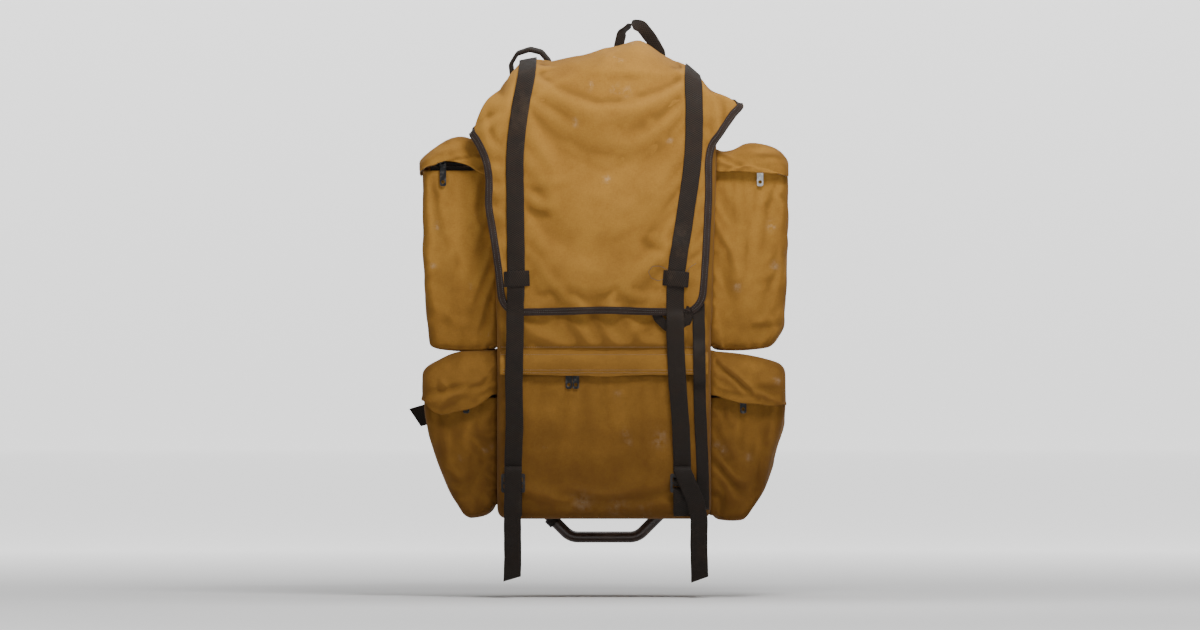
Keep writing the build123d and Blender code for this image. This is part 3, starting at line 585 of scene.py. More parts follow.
def paint_material():
    s = Shader("frame_paint")
    where = s.node("TexCoord").outputs["Object"]
    chips = s.ramp(s.noise(where, 60.0, 8.0, 0.75), 0.68, 0.72)
    scuff = s.noise(s.node("Mapping", Vector=where, Scale=(30.0, 240.0, 240.0)), 1.0, 5.0, 0.7)
    dust = s.ramp(s.noise(where, 11.0, 5.0), 0.45, 0.7)
    colour = s.mix(dust, (0.032, 0.018, 0.013), (0.075, 0.045, 0.03))
    colour = s.mix(s.math("MULTIPLY", chips, 0.6), colour, (0.16, 0.11, 0.08))
    peel = s.noise(where, 700.0, 2.0)
    rough = s.ramp(s.math("ADD", scuff, s.math("MULTIPLY", dust, 0.3)), 0.35, 0.9, 0.22, 0.55)
    return s.done(
        Base_Color=colour, Roughness=rough, Metallic=s.math("MULTIPLY", chips, 0.7),
        Normal=s.bump(s.math("ADD", s.math("MULTIPLY", peel, 0.4), s.math("MULTIPLY", chips, -1.0)), 0.00015, 0.6),
        Coat_Weight=0.3, Coat_Roughness=0.2,
    )


def metal_material(name, colour, worn, rough=0.35, metallic=1.0):
    s = Shader(name)
    where = s.node("TexCoord").outputs["Object"]
    rub = s.ramp(s.noise(where, 160.0, 6.0, 0.7), 0.5, 0.68)
    scratch = s.noise(s.node("Mapping", Vector=where, Scale=(90.0, 900.0, 1500.0)), 1.0, 4.0)
    base = s.mix(rub, colour, worn)
    return s.done(
        Base_Color=base, Metallic=metallic, Roughness=s.ramp(scratch, 0.3, 0.7, rough - 0.1, rough + 0.2),
        Normal=s.bump(scratch, 0.00006, 0.5),
    )


def plastic_material(name, colour, rough=0.42):
    s = Shader(name)
    where = s.node("TexCoord").outputs["Object"]
    scuff = s.noise(where, 210.0, 6.0, 0.7)
    dust = s.math("MULTIPLY", s.ramp(s.noise(where, 45.0, 5.0), 0.5, 0.72), 0.4)
    return s.done(
        Base_Color=s.mix(dust, colour, (0.11, 0.08, 0.055)), Roughness=s.ramp(scuff, 0.3, 0.7, rough, rough + 0.3),
        Normal=s.bump(s.noise(where, 1500.0, 2.0), 0.00008, 0.5), Specular_IOR_Level=0.45,
    )


def thread_material(name, colour):
    s = Shader(name)
    where = s.node("TexCoord").outputs["Object"]
    tone = s.noise(where, 300.0, 3.0)
    return s.done(
        Base_Color=s.mix(s.ramp(tone, 0.3, 0.7), tuple(0.6 * c for c in colour), colour), Roughness=0.6,
        Sheen_Weight=0.3, Normal=s.bump(s.noise(where, 2500.0, 1.0), 0.0001, 0.5),
    )


CANVAS = canvas_material("canvas", (0.40, 0.20, 0.038), (0.255, 0.118, 0.020), 0.55)
LINING = canvas_material("canvas_lining", (0.20, 0.135, 0.07), (0.13, 0.085, 0.042), 0.1)
WEBBING = webbing_material("webbing", (0.038, 0.024, 0.016), (0.009, 0.006, 0.004))
BINDING = webbing_material("binding", (0.05, 0.031, 0.022), (0.018, 0.011, 0.009), 0.0015, 0.6)
TAPE = webbing_material("zip_tape", (0.02, 0.014, 0.011), (0.007, 0.005, 0.004), 0.0009, 0.65)
PAINT = paint_material()
STEEL = metal_material("steel", (0.20, 0.19, 0.175), (0.34, 0.32, 0.30), 0.45)
ZIP_BLACK = metal_material("zip_black", (0.012, 0.012, 0.013), (0.11, 0.10, 0.09), 0.38, 0.6)
ZIP_BARE = metal_material("zip_bare", (0.42, 0.43, 0.42), (0.66, 0.66, 0.64), 0.3)
TEETH = plastic_material("zip_teeth", (0.02, 0.015, 0.012))
BUCKLE = plastic_material("buckle", (0.012, 0.010, 0.010))
THREAD = thread_material("thread_tan", (0.30, 0.19, 0.085))
DARK_THREAD = thread_material("thread_dark", (0.045, 0.03, 0.022))


def dress(node, material):
    """Gives a CAD node that stays one material."""
    node.data.materials.clear()
    node.data.materials.append(material)


for name in ("frame_upper_bend", "frame_lower_bend", "frame_crossbars"):
    dress(NODES[name], PAINT)
for name in ("frame_sleeves", "clevis_pins"):
    dress(NODES[name], STEEL)
dress(NODES["ladder_locks"], BUCKLE)
for name, node in NODES.items():
    if name.endswith("_slider") or name.endswith("_pull"):
        dress(node, ZIP_BARE if name.startswith("pocket_upper_right") else ZIP_BLACK)


def spots(obj, *marks):
    """Marks x, z, radius where dried splashes show."""
    co = coords(obj)
    value = np.zeros(len(co))
    for x, z, r in marks:
        near = np.exp(-((co[:, 0] - x) ** 2 + (co[:, 2] - z) ** 2) / r**2)
        value = np.maximum(value, near * (co[:, 1] < -150))
    layer = obj.data.attributes.new("spot", "FLOAT", "POINT")
    layer.data.foreach_set("value", value.astype(np.float32))


def adopt(obj, body, slot, *nodes):
    """obj moves with body and stands for the CAD nodes, which it hides. slot is not used."""
    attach(obj, body)
    if nodes:
        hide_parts(*nodes)
    return obj


# ---------------------------------------------------------------- main bag
ZIP_Z = sum(v[2] for v in box_mm("lower_zip_chain")) / 2
SEAM_Z = 274.0
BAG_CORNER, BAG_EDGE = 22, 13  # radii of the upright corners and of the bottom edge
BAG_POINTS = 160
HINGE_TUCK, HINGE_DROP = 3, 89  # the shell's back under the hinge, and how far it falls to the ends


def build_bag():
    by_flap = [240, 242, 244, 250, 256, 258, 261, 266, 271, 274, 277]
    heights = [BAG_LO[2]] + list(np.arange(54, 236, 7.0)) + by_flap
    heights += list(np.arange(283, MOUTH - 4, 7.0)) + [MOUTH - 1.5]
    rows = pouch(lambda z: (BAG_LO[0] - 1, BAG_HI[0] + 1, FRONT, 0), heights, BAG_CORNER, BAG_EDGE, BAG_POINTS)
    x, y, z = rows[..., 0], rows[..., 1], rows[..., 2]
    face = smooth(FRONT + 14, FRONT + 1, y) * smooth(0, 1, 150 - np.abs(x))
    slack = 2.5 * np.cos(np.pi * np.clip(x, -150, 150) / 300) * np.sin(np.pi * np.clip((z - 40) / 200, 0, 1))
    slack += 1.4 * bumps(rows, 80, 3) + 0.7 * bumps(rows, 26, 13) + 2.0 * (z > 280) * np.cos(np.pi * x / 300)
    slack -= 1.8 * np.exp(-(((z - SEAM_Z) / 3.0) ** 2))
    # gathers in the strip between the flap's seam and the lid
    lean = x + 0.5 * (z - 280)
    gather = np.sin(lean / 8.2 + 1.6 * np.sin(lean / 29.0)) * smooth(276, 292, z) * smooth(352, 318, z)
    slack += 2.6 * gather + fold(x, z, -118, 250, -60, 150, 22, 1.2) + fold(x, z, 118, 60, 70, 46, 9, 1.6)
    slack += fold(x, z, -122, 70, -60, 52, 10, 1.5)
    rows[..., 1] -= face * slack
    groove = (np.abs(z - ZIP_Z) < 7) * (y < FRONT + 2) * (np.abs(x) < 148)
    rows[..., 1] += groove * 5.0
    side = smooth(0, 12, np.abs(x) - (BAG_HI[0] - 3)) * smooth(0, 60, -y) * smooth(0, 60, y - FRONT)
    rows[..., 0] -= np.sign(x) * side * (1.0 + 0.8 * bumps(rows, 60, 8))
    # a full bag's front corners stand out in front of the pockets
    full = smooth(120, 150, np.abs(x)) * smooth(-179, -193, y) * smooth(282, 330, z) * smooth(MOUTH, 560, z)
    swell_right = table(z, (280, 5), (400, 9), (520, 14), (600, 15))
    swell = np.where(x > 0, swell_right, table(z, (280, 5), (420, 8), (600, 9)))
    rows[..., 0] += np.sign(x) * full * swell
    rows[..., 1] += full * 3.0
    # at the back the shell carries on up to the lid's hinge
    drop = np.where(x < 0, ridge_drop(x, -1), ridge_drop(x, 1))
    hinge = LID_ROWS[0][0] - HINGE_TUCK - HINGE_DROP * drop
    raised = smooth(MOUTH - 70, MOUTH - 1.5, z) * smooth(-9, -1.5, y) * smooth(149, 136, np.abs(x))
    rows[..., 2] += raised * (hinge - MOUTH)
    bag = grid("bag_shell", rows, CANVAS, closed=True, cap=True)
    flat = np.vstack([rows.reshape(-1, 3), rows[0].mean(0)])
    free = smooth(FRONT + 30, FRONT + 4, flat[:, 1]) * smooth(150, 138, np.abs(flat[:, 0]))
    free *= smooth(46, 66, flat[:, 2]) * smooth(MOUTH - 20, MOUTH - 60, flat[:, 2])
    free *= smooth(9, 22, np.abs(flat[:, 2] - ZIP_Z)) * smooth(0, 14, np.abs(flat[:, 2] - SEAM_Z))
    cloth(bag, 1 - free, pressure=0.6, gravity=0.5, grow=0.008, bend=3.0, cap=3.6)
    return bag


def build_flap():
    lo, hi = box_mm("lower_storm_flap")
    across = np.linspace(BAG_LO[0] + 2, BAG_HI[0] - 2, 66)
    past_flat = np.maximum(np.abs(across) - 128, 0)
    round_corner = BAG_CORNER - np.sqrt(BAG_CORNER**2 - past_flat**2)
    profile = [(0.6, hi[2] + 1), (1.4, hi[2] - 2), (3.2, hi[2] - 5), (6.0, hi[2] - 8), (7.8, hi[2] - 13)]
    profile += [(8.7 + 0.02 * k, z) for k, z in enumerate(np.linspace(hi[2] - 18, lo[2], 7))]
    rows = np.array([[(x, FRONT - out, z) for x in across] for out, z in profile])
    x, z = rows[..., 0], rows[..., 2]
    rows[..., 1] += round_corner * smooth(hi[2] - 16, hi[2] - 4, z)
    hang = smooth(hi[2], lo[2], z)
    rows[..., 1] -= hang * (0.3 * np.sin(x / 13.0) + 0.3 * bumps(rows * [1, 0, 0], 17, 5))
    rows[..., 2] += hang * (1.4 * bumps(rows * [1, 0, 0], 40, 2) - 1.0 * np.cos(x / 60.0))
    return grid("storm_flap", rows, CANVAS, flip=True)


# ---------------------------------------------------------------- lid
# rows from the hinge over the top and down the front:
# height and depth in the middle, bow, then x and z at the left and right ends, and depth at the ends
LID_ROWS = [
    (689, 0, 6.0, -156, 600, 156, 606, 0),
    (699, -18, 5.0, -156, 598, 156, 607, -14),
    (708, -60, 3.8, -157, 596, 157, 610, -50),
    (713, -105, 3.1, -157, 593, 158, 614, -96),
    (713, -142, 2.9, -158, 590, 159, 618, -138),
    (703, -172, 2.8, -162, 588, 163, 622, -176),
    (684, -193, 2.6, -190, 585, 198, 626, -191),
    (655, -204, 2.4, -183, 572, 187, 610, -198),
    (622, -208, 2.3, -175, 555, 172, 588, -201),
    (588, -209, 2.2, -169, 535, 158, 568, -203),
    (550, -209, 2.0, -167, 511, 153, 545, -204),
    (505, -209, 2.0, -168, 482, 153, 503, -204),
    (455, -208, 2.0, -162, 444, 151, 455, -205),
    (400, -208, 2.0, -155, 398, 148, 400, -205),
    (360, -208, 2.0, -151, 360, 145, 360, -205),
    (329, -208, 2.0, -149, 329, 142, 329, -205),
]
LID_CORNER = 27.0
# creases down the front: from x, z to x, z, then width and height
LID_CREASES = [
    (-60, 640, 10, 560, 16, 2.0), (40, 650, 90, 540, 14, 2.2), (-95, 560, -30, 450, 15, 1.6),
    (95, 420, 30, 350, 12, 1.8), (-150, 520, -135, 360, 7, 2.2), (20, 500, 85, 470, 13, 1.6),
    (-104, 634, -46, 664, 6, 2.6), (-112, 515, -48, 508, 7, -2.8), (-112, 482, -70, 470, 8, -3.4),
    (52, 448, 94, 400, 9, -3.0), (-186, 590, -140, 604, 5, 2.6), (-176, 626, -150, 560, 7, 2.4),
    (-140, 664, -132, 610, 5, 2.6), (160, 640, 150, 570, 6, 2.4), (186, 612, 150, 575, 6, 1.8),
    (-20, 430, 40, 520, 18, 1.4), (-80, 400, -60, 345, 8, 2.0), (120, 400, 146, 420, 5, 1.6),
]

# how far the lid's ridge has dropped towards each end, from the middle (0) to the end (1)
RIDGES = {
    -1: [
        (0, 0.02), (0.11, 0.07), (0.33, 0.14), (0.5, 0.19), (0.65, 0.24), (0.82, 0.42), (0.94, 0.62),
        (0.975, 0.78), (1, 1),
    ],
    1: [
        (0, 0.02), (0.12, -0.02), (0.26, -0.09), (0.42, 0.10), (0.62, 0.36), (0.73, 0.54), (0.81, 0.72),
        (0.9, 0.81), (1, 1),
    ],
}
RIDGE_REACH = {-1: 188, 1: 196}  # from the middle to each end


def ridge_drop(x, side):
    return table(np.abs(x) / RIDGE_REACH[side], *RIDGES[side])


def build_lid():
    keys = np.array(LID_ROWS, float)
    middle = keys[:, [1, 0]]
    along = run_length(middle)
    want = np.concatenate([np.linspace(0, along[-1] - 30, 80), along[-1] - np.array([24, 18, 12, 7, 3, 0.0])])
    zc, yc, bow, lx, lz, rx, rz, ye = (table(want, *zip(along, keys[:, k])) for k in range(8))
    u = np.linspace(-1, 1, 75)
    t = u * (1.25 - 0.25 * u * u)
    rows = np.zeros((len(want), len(t), 3))
    pull = np.clip(LID_CORNER - (zc - keys[-1, 0]), 0, LID_CORNER)
    narrow = LID_CORNER - np.sqrt(np.maximum(LID_CORNER**2 - pull**2, 0))
    top = smooth(600, 690, zc)
    for j, tj in enumerate(t):
        ex, ez = (lx, lz) if tj < 0 else (rx, rz)
        rows[:, j, 0] = abs(tj) * (ex - np.sign(ex) * narrow)
        rows[:, j, 1] = yc + (ye - yc) * abs(tj) ** 3
        ridge = ridge_drop(tj * ex, -1 if tj < 0 else 1)
        ridge = ridge + (1 - ridge) * abs(tj) ** 24
        rows[:, j, 2] = zc - (zc - ez) * (top * ridge + (1 - top) * abs(tj) ** bow)
    x, y, z = rows[..., 0], rows[..., 1], rows[..., 2]
    front = smooth(-185, -203, y)
    wave = 2.4 * np.sin(x / 9.5 + 1.4 * np.sin(x / 31.0)) * smooth(385, 336, z)
    wave += 1.8 * bumps(rows, 90, 1) + 0.9 * bumps(rows, 34, 4)
    wave += sum(fold(x, z, *crease) for crease in LID_CREASES)
    by_rim = smooth(30, 12, table(z, *((r[0], -r[3]) for r in reversed(LID_ROWS[7:]))) - np.abs(x))
    wave += 1.1 * by_rim * np.sin(z / 6.5 + 2 * np.sin(z / 41.0)) * smooth(600, 540, z)
    rows[..., 1] -= front * 1.2 * wave
    rows[..., 2] += (1 - front) * (2.4 * bumps(rows, 60, 6) + 1.1 * bumps(rows, 25, 7))
    rows[..., 2] -= 6.0 * np.exp(-(((x - 153) / 7) ** 2)) * smooth(-120, -170, y) * smooth(640, 655, z)
    rows[..., 2] -= 4.0 * np.exp(-(((x + 146) / 8) ** 2)) * smooth(-120, -170, y) * smooth(630, 650, z)
    lid = grid("lid_shell", rows, CANVAS, flip=True)
    flat = rows.reshape(-1, 3)
    edge = np.ones(rows.shape[:2])
    edge[3:-3, 3:-3] = 0.0
    pins = edge.reshape(-1)
    for line in (LEFT_STRAP, RIGHT_STRAP):
        off = np.abs(flat[:, 0] - table(flat[:, 2], *line))
        pins = np.maximum(pins, 0.9 * smooth(20, 8, off))
    cloth(lid, pins, pressure=1.3, gravity=0.5, grow=0.006, bend=7.0, cap=6.0)
    return lid, rows.shape[:2]


# the straps' middles: z, x
LEFT_STRAP = [
    (240, -128), (300, -127), (375, -125), (490, -126), (560, -126), (620, -119), (675, -109), (720, -108),
]
RIGHT_STRAP = [
    (200, 106), (320, 101), (377, 102), (460, 114), (560, 127), (620, 128), (680, 126), (720, 125),
]


# ---------------------------------------------------------------- side pockets
# the outline of each pocket, and its creases: from x, z to x, z, then width and height
POCKETS = {
    ("upper", -1): dict(
        wide=[(285, 252), (300, 254), (345, 258), (440, 262), (534, 257)],
        corner=5,
        floor=[(150, -3), (185, -4), (250, 0)],
        hem=[(158, 524), (169, 526), (195, 540), (212, 545), (224, 546.5), (240, 542), (262, 533)],
        top=[(158, 560), (180, 575), (205, 583), (222, 579), (240, 568), (262, 551)],
        creases=[
            (-252, 510, -215, 488, 7, 2.6), (-240, 430, -190, 400, 14, 1.8), (-250, 350, -200, 300, 9, 2.4),
            (-176, 520, -166, 440, 6, 2.4), (-205, 470, -225, 400, 16, 1.6), (-164, 375, -162, 300, 5, 2.2),
        ],
        folds=[(-250, 566, -200, 556, 7, 2.0)],
    ),
    ("upper", 1): dict(
        wide=[(285, 246), (300, 256), (341, 262), (416, 265), (520, 263), (534, 260)],
        corner=7,
        floor=[(150, -2), (200, -2), (250, 3)],
        hem=[(158, 530), (190, 530), (225, 529), (262, 525)],
        top=[(158, 562), (184, 563), (200, 572), (227, 572), (250, 563), (263, 551)],
        creases=[
            (262, 516, 212, 470, 7, 3.2), (268, 446, 218, 392, 9, 3.2), (250, 392, 214, 372, 6, 2.6),
            (256, 328, 204, 306, 7, 4.2), (205, 350, 190, 430, 12, 1.6), (172, 430, 220, 452, 9, 1.6),
        ],
        folds=[(216, 561, 256, 548, 4, 3.6), (184, 540, 250, 538, 5, 1.4)],
    ),
    ("lower", -1): dict(
        wide=[(43, 203), (60, 208), (110, 229), (161, 249), (185, 254), (212, 255)],
        corner=10,
        floor=[(150, 17), (170, 5), (203, 0)],
        hem=[(158, 214), (177, 199), (208, 189), (236, 187), (250, 195), (262, 211)],
        top=[(150, 278), (185, 277), (214, 274), (240, 262), (262, 250)],
        creases=[
            (-226, 104, -208, 84, 6, -5.0), (-186, 150, -178, 110, 6, 4.0), (-182, 182, -168, 150, 7, 4.0),
            (-168, 152, -150, 147, 4, 3.0), (-172, 122, -150, 120, 4, 3.2), (-172, 70, -150, 62, 4, 3.4),
            (-240, 176, -222, 120, 8, 3.4), (-210, 150, -198, 70, 12, 2.8), (-170, 104, -156, 92, 4, -2.6),
        ],
        folds=[(-246, 203, -152, 246, 5, -4.5), (-240, 236, -222, 214, 5, 3.2), (-236, 196, -160, 222, 6, 3.0)],
    ),
    ("lower", 1): dict(
        wide=[(43, 207), (73, 227), (152, 244), (173, 255), (205, 258), (212, 257)],
        corner=7,
        floor=[(150, 0), (200, -1), (220, 6)],
        hem=[(158, 212), (180, 205), (207, 200), (240, 198), (262, 199)],
        top=[(150, 276), (170, 275), (205, 271), (225, 267), (255, 257), (262, 253)],
        creases=[
            (150, 112, 204, 80, 5, -5.0), (214, 66, 232, 76, 4, 3.0), (152, 70, 166, 66, 4, -3.4),
            (170, 196, 168, 176, 4, -3.2), (246, 172, 224, 120, 10, 3.0), (200, 150, 236, 104, 10, 2.2),
        ],
        folds=[(162, 244, 216, 216, 4, -5.0), (212, 217, 250, 216, 4, -4.0), (228, 236, 250, 222, 5, 2.4)],
    ),
}


POCKET_POINTS = 108
SEWN_CORNER = 1.5  # radius of the two corners that are sewn to the bag


def build_pocket(level, side):
    tag = TAGS[side]
    lo, hi = box_mm(f"pocket_{level}_{tag}_body")
    data = POCKETS[level, side]
    seed = 11 + side * 3 + (5 if level == "lower" else 0)
    inner = BAG_HI[0] + 0.8
    heights = [lo[2]] + list(np.arange(lo[2] + 20, hi[2] - 2, 5.5)) + [hi[2] + 1]

    def outline(z):
        return inner, float(table(z, *data["wide"])), lo[1] + 1, hi[1] - 1

    rows = pouch(outline, heights, 11, data["corner"], POCKET_POINTS, inner=SEWN_CORNER)
    x, y, z = rows[..., 0].copy(), rows[..., 1].copy(), rows[..., 2].copy()
    front = smooth(-140, -162, y)
    loose = smooth(inner, inner + 12, x) * smooth(hi[2], hi[2] - 30, z)
    lumps = 2.6 * bumps(rows, 60, seed) + 1.3 * bumps(rows, 24, seed + 2)
    if level == "lower":
        lumps += 2.2 * bumps(rows, 30, seed + 4)
    rows[..., 1] -= loose * front * (lumps + 1.0)
    creases = sum(fold(side * x, z, *c) for c in data["creases"])
    rows[..., 1] -= front * smooth(hi[2] + 2, hi[2] - 8, z) * creases
    rows[..., 0] += loose * smooth(200, 245, x) * 2.2 * bumps(rows, 40, seed + 1)
    rows[..., 2] += table(x, *data["floor"]) * smooth(lo[2] + 60, lo[2], z)
    rows[..., 0] *= side
    pocket = grid(f"pocket_{level}_{tag}_pouch", rows, CANVAS, closed=True, cap=True, flip=side < 0)
    flat = np.vstack([rows.reshape(-1, 3), rows[0].mean(0)])
    pins = smooth(inner + 9, inner + 3, np.abs(flat[:, 0]))
    pins = np.maximum(pins, smooth(hi[2] - 9, hi[2] - 2, flat[:, 2]))
    grow = 0.012 if level == "upper" else 0.024
    cloth(pocket, pins, pressure=0.9, gravity=0.8, grow=grow, bend=2.5, cap=6.0)
    return pocket


def build_hood(level, side):
    tag = TAGS[side]
    lo, hi = box_mm(f"pocket_{level}_{tag}_hood")
    data = POCKETS[level, side]
    x_in, x_out = sorted(abs(v) for v in (lo[0], hi[0]))
    if level == "lower":
        x_in = BAG_HI[0] + 1.2
    seed = 31 + side * 3 + (5 if level == "lower" else 0)
    crown, hem = hi[2], lo[2]
    edge = 10
    heights = [-crown] + list(np.arange(-crown + edge + 3, -hem - 2, 4.5)) + [-hem]
    rows = pouch(lambda z: (x_in, x_out - 1.0, lo[1], hi[1] - 1), heights, 10, edge, POCKET_POINTS, SEWN_CORNER)
    rows[..., 2] *= -1
    x, y, z = rows[..., 0].copy(), rows[..., 1].copy(), rows[..., 2].copy()
    up = np.clip((z - hem) / (crown - hem), 0, 1)
    seen = smooth(-60, -140, y)
    low = hem + seen * (table(x, *data["hem"]) - hem)
    high = table(x, *data["top"]) - 5 * smooth(-60, -20, y)
    rows[..., 2] = low + up * (high - low) + (1 - up) * 1.2 * bumps(rows * [1, 1, 0], 26, seed)
    front = smooth(-140, -170, y)
    rows[..., 1] -= front * sum(fold(side * x, rows[..., 2], *c) for c in data["folds"])
    rows[..., 1] += smooth(0.45, 1.0, up) * 10 * front + front * (1.4 * bumps(rows, 34, seed + 3) - 1.8)
    rows[..., 0] *= side
    hood = grid(f"pocket_{level}_{tag}_cap", rows, CANVAS, closed=True, cap=True, flip=side > 0)
    flat = np.vstack([rows.reshape(-1, 3), rows[0].mean(0)])
    stiff = np.concatenate([up.reshape(-1), [1.0]])
    pins = np.maximum(smooth(x_in + 7, x_in + 2, np.abs(flat[:, 0])), 0.8 * smooth(0.16, 0.03, stiff))
    cloth(hood, pins, pressure=0.8, gravity=0.8, grow=0.025, bend=1.6, cap=3.5 if level == "upper" else 2.5)
    return hood, rows


def off_seam(line):
    """The parts of a hem line that aren't on the hood's open inner side."""
    seam = np.abs(line[:, 0]).min() + 1.5
    runs = np.split(line, np.flatnonzero(np.diff(np.abs(line[:, 0]) > seam)) + 1)
    return [run for run in runs if len(run) > 3 and abs(run[len(run) // 2, 0]) > seam]


def open_seam(obj):
    """Takes away a hood's inner side, below its seam, so that the zip can run out to the bag."""
    work = bmesh.new()
    work.from_mesh(obj.data)
    co = coords(obj)
    near, crown = np.abs(co[:, 0]).min() + 0.8, co[:, 2].max() - 16
    inside = (np.abs(co[:, 0]) < near) & (co[:, 2] < crown)
    walls = [f for f in work.faces if all(inside[v.index] for v in f.verts)]
    bmesh.ops.delete(work, geom=walls, context="FACES")
    work.to_mesh(obj.data)
    work.free()


# ---------------------------------------------------------------- shoulder pads
PAD_LINE = [(74, 554.8), (96, 540), (106, 470), (104, 400), (90, 330)]
WEB_LINE = [
    (32, 563.2), (62, 563.2), (96, 540), (106, 470), (104, 400), (88, 320), (66, 226), (54, 201.8), (32, 201.8),
]
PAD_X = 62.0
PAD_SIDES = 40
PAD_PINS = (0, 1, 19, 20, 21, 39)  # points round the pad that are sewn to its edges


def build_pad(side):
    tag = TAGS[side]
    middle = route([(y, z) for y, z in PAD_LINE], 6)
    x0 = side * PAD_X
    tangent = unit(np.gradient(middle, axis=0))
    out = np.stack([-tangent[:, 1], tangent[:, 0]], -1)
    n = len(middle)
    rows = []
    for k in range(n):
        end = min(k, n - 1 - k) * 6.0
        full = min(1, (end + 3) / 16)
        width = 27.5 * math.sqrt(full * (2 - full))
        ring = []
        for a in np.linspace(0, 2 * math.pi, PAD_SIDES, endpoint=False):
            c, s = math.cos(a), math.sin(a)
            across = width * math.copysign(abs(c) ** 0.75, c)
            thick = 4.6 * math.copysign(abs(s) ** 0.6, s) * min(1, 0.35 + end / 16)
            thick *= 1 - 0.2 * math.exp(-((across / width) ** 2) / 0.012)
            ring.append((x0 + across, middle[k, 0] + out[k, 0] * thick, middle[k, 1] + out[k, 1] * thick))
        rows.append(ring)
    rows = np.array(rows)
    flat = np.vstack([rows.reshape(-1, 3), rows[0].mean(0), rows[-1].mean(0)])
    faces = quads(n, PAD_SIDES, closed=True)
    last = (n - 1) * PAD_SIDES
    for c in range(PAD_SIDES):
        faces.append((len(flat) - 2, (c + 1) % PAD_SIDES, c))
    for c in range(PAD_SIDES):
        faces.append((len(flat) - 1, last + c, last + (c + 1) % PAD_SIDES))
    uv = np.column_stack([flat[:, 0], flat[:, 2]])
    pad = mesh(f"shoulder_{tag}_cushion", flat, faces, CANVAS, uv)
    pins = np.zeros(len(flat))
    pins[[c + r * PAD_SIDES for r in range(n) for c in PAD_PINS]] = 1
    cloth(pad, pins, pressure=3.0, gravity=0.0, grow=0.02, bend=2.0, cap=2.4)
    return pad


bag = build_bag()
flap = build_flap()
lid, lid_shape = build_lid()
pouches = {key: build_pocket(*key) for key in POCKETS}
hoods = {key: build_hood(*key) for key in POCKETS}
pads = {side: build_pad(side) for side in TAGS}
run_cloths()

lid_points = coords(lid).reshape(*lid_shape, 3)
spots(
    bag, (20, 212, 4), (30, 160, 4), (34, 146, 4), (78, 148, 8), (82, 160, 4), (-30, 60, 12), (20, 52, 12),
    (60, 50, 8),
)
spots(lid, (16, 647, 5), (32, 645, 5), (-20, 652, 4), (93, 575, 3), (4, 520, 4), (-40, 600, 3))
# splashes on the pockets: x, z, radius
SPLASHES = [
    (238, 454, 5), (262, 418, 4), (243, 397, 4), (190, 366, 4), (160, 140, 5), (170, 134, 5), (205, 124, 4),
    (246, 232, 4),
]
for (level, side), pouch_obj in pouches.items():
    spots(pouch_obj, *((side * x, z, r if side > 0 else 0.6 * r) for x, z, r in SPLASHES))
hem_lines = []
for key, (obj, rows) in hoods.items():
    co = (coords(obj) + 0.35 * normals(obj))[: rows.shape[0] * rows.shape[1]].reshape(rows.shape)
    hem_lines += [(key, run) for r in (-2, -3) for run in off_seam(co[r])]
    open_seam(obj)
for obj in (bag, lid, *pouches.values()):
    finish_cloth(obj)
for obj, rows in hoods.values():
    spots(obj, (246, 232, 4))
    finish_cloth(obj)
finish_cloth(flap, 1.8)
for pad in pads.values():
    pad.modifiers.new("round", "SUBSURF").levels = 1
    bake(pad)
    note_relief(pad)

lid_skin = Skin(lid)
flap_skin = Skin(bag, flap)

adopt(
    bag, "pack", "canvas",
    "bag_back_panel", "bag_sides", "bag_upper_front", "bag_lower_front", "bag_bottom", "mouth_hem",
)
adopt(flap, "pack", "canvas", "lower_storm_flap")
adopt(lid, "lid", "canvas", "lid")
for (level, side), obj in pouches.items():
    tag = TAGS[side]
    adopt(obj, "pack", "canvas", f"pocket_{level}_{tag}_body")
    adopt(hoods[level, side][0], f"pocket_{level}_{tag}_hood", "canvas", f"pocket_{level}_{tag}_hood")
for side, pad in pads.items():
    tag = TAGS[side]
    adopt(pad, f"shoulder_strap_{tag}", "padding", f"shoulder_{tag}_pad")


# ---------------------------------------------------------------- lid binding
def edge_path():
    """The lid's rim from the left of the hinge round to the right, and the way inwards along it."""
    p = lid_points
    rim = [p[i, 0] for i in range(1, lid_shape[0])]
    inward = [p[i, 2] - p[i, 0] for i in range(1, lid_shape[0])]
    rim += [p[-1, j] for j in range(1, lid_shape[1])]
    inward += [p[-3, j] - p[-1, j] for j in range(1, lid_shape[1])]
    rim += [p[i, -1] for i in range(lid_shape[0] - 2, 0, -1)]
    inward += [p[i, -3] - p[i, -1] for i in range(lid_shape[0] - 2, 0, -1)]
    both = route(np.column_stack([rim, unit(inward) * 10]), 4.5)
    return both[:, :3], unit(both[:, 3:])


rim, inward = edge_path()
binding = ribbon("lid_binding_tape", rim + inward * 4.4, inward, 10.5, 3.4, BINDING, belly=0.0)
adopt(binding, "lid", "binding", "lid_binding")


# ---------------------------------------------------------------- closure straps
LOCK_LO, LOCK_HI = box_mm("ladder_locks")
LOCK_Y, LOCK_Z = (LOCK_LO[1] + LOCK_HI[1]) / 2, (LOCK_LO[2] + LOCK_HI[2]) / 2
PAIR_INSET = 17  # from the outside of a pair of buckles or keepers to the middle of one


def pair_x(lo, hi, side):
    """Where the left or the right one of a pair has its middle."""
    return lo[0] + PAIR_INSET if side < 0 else hi[0] - PAIR_INSET


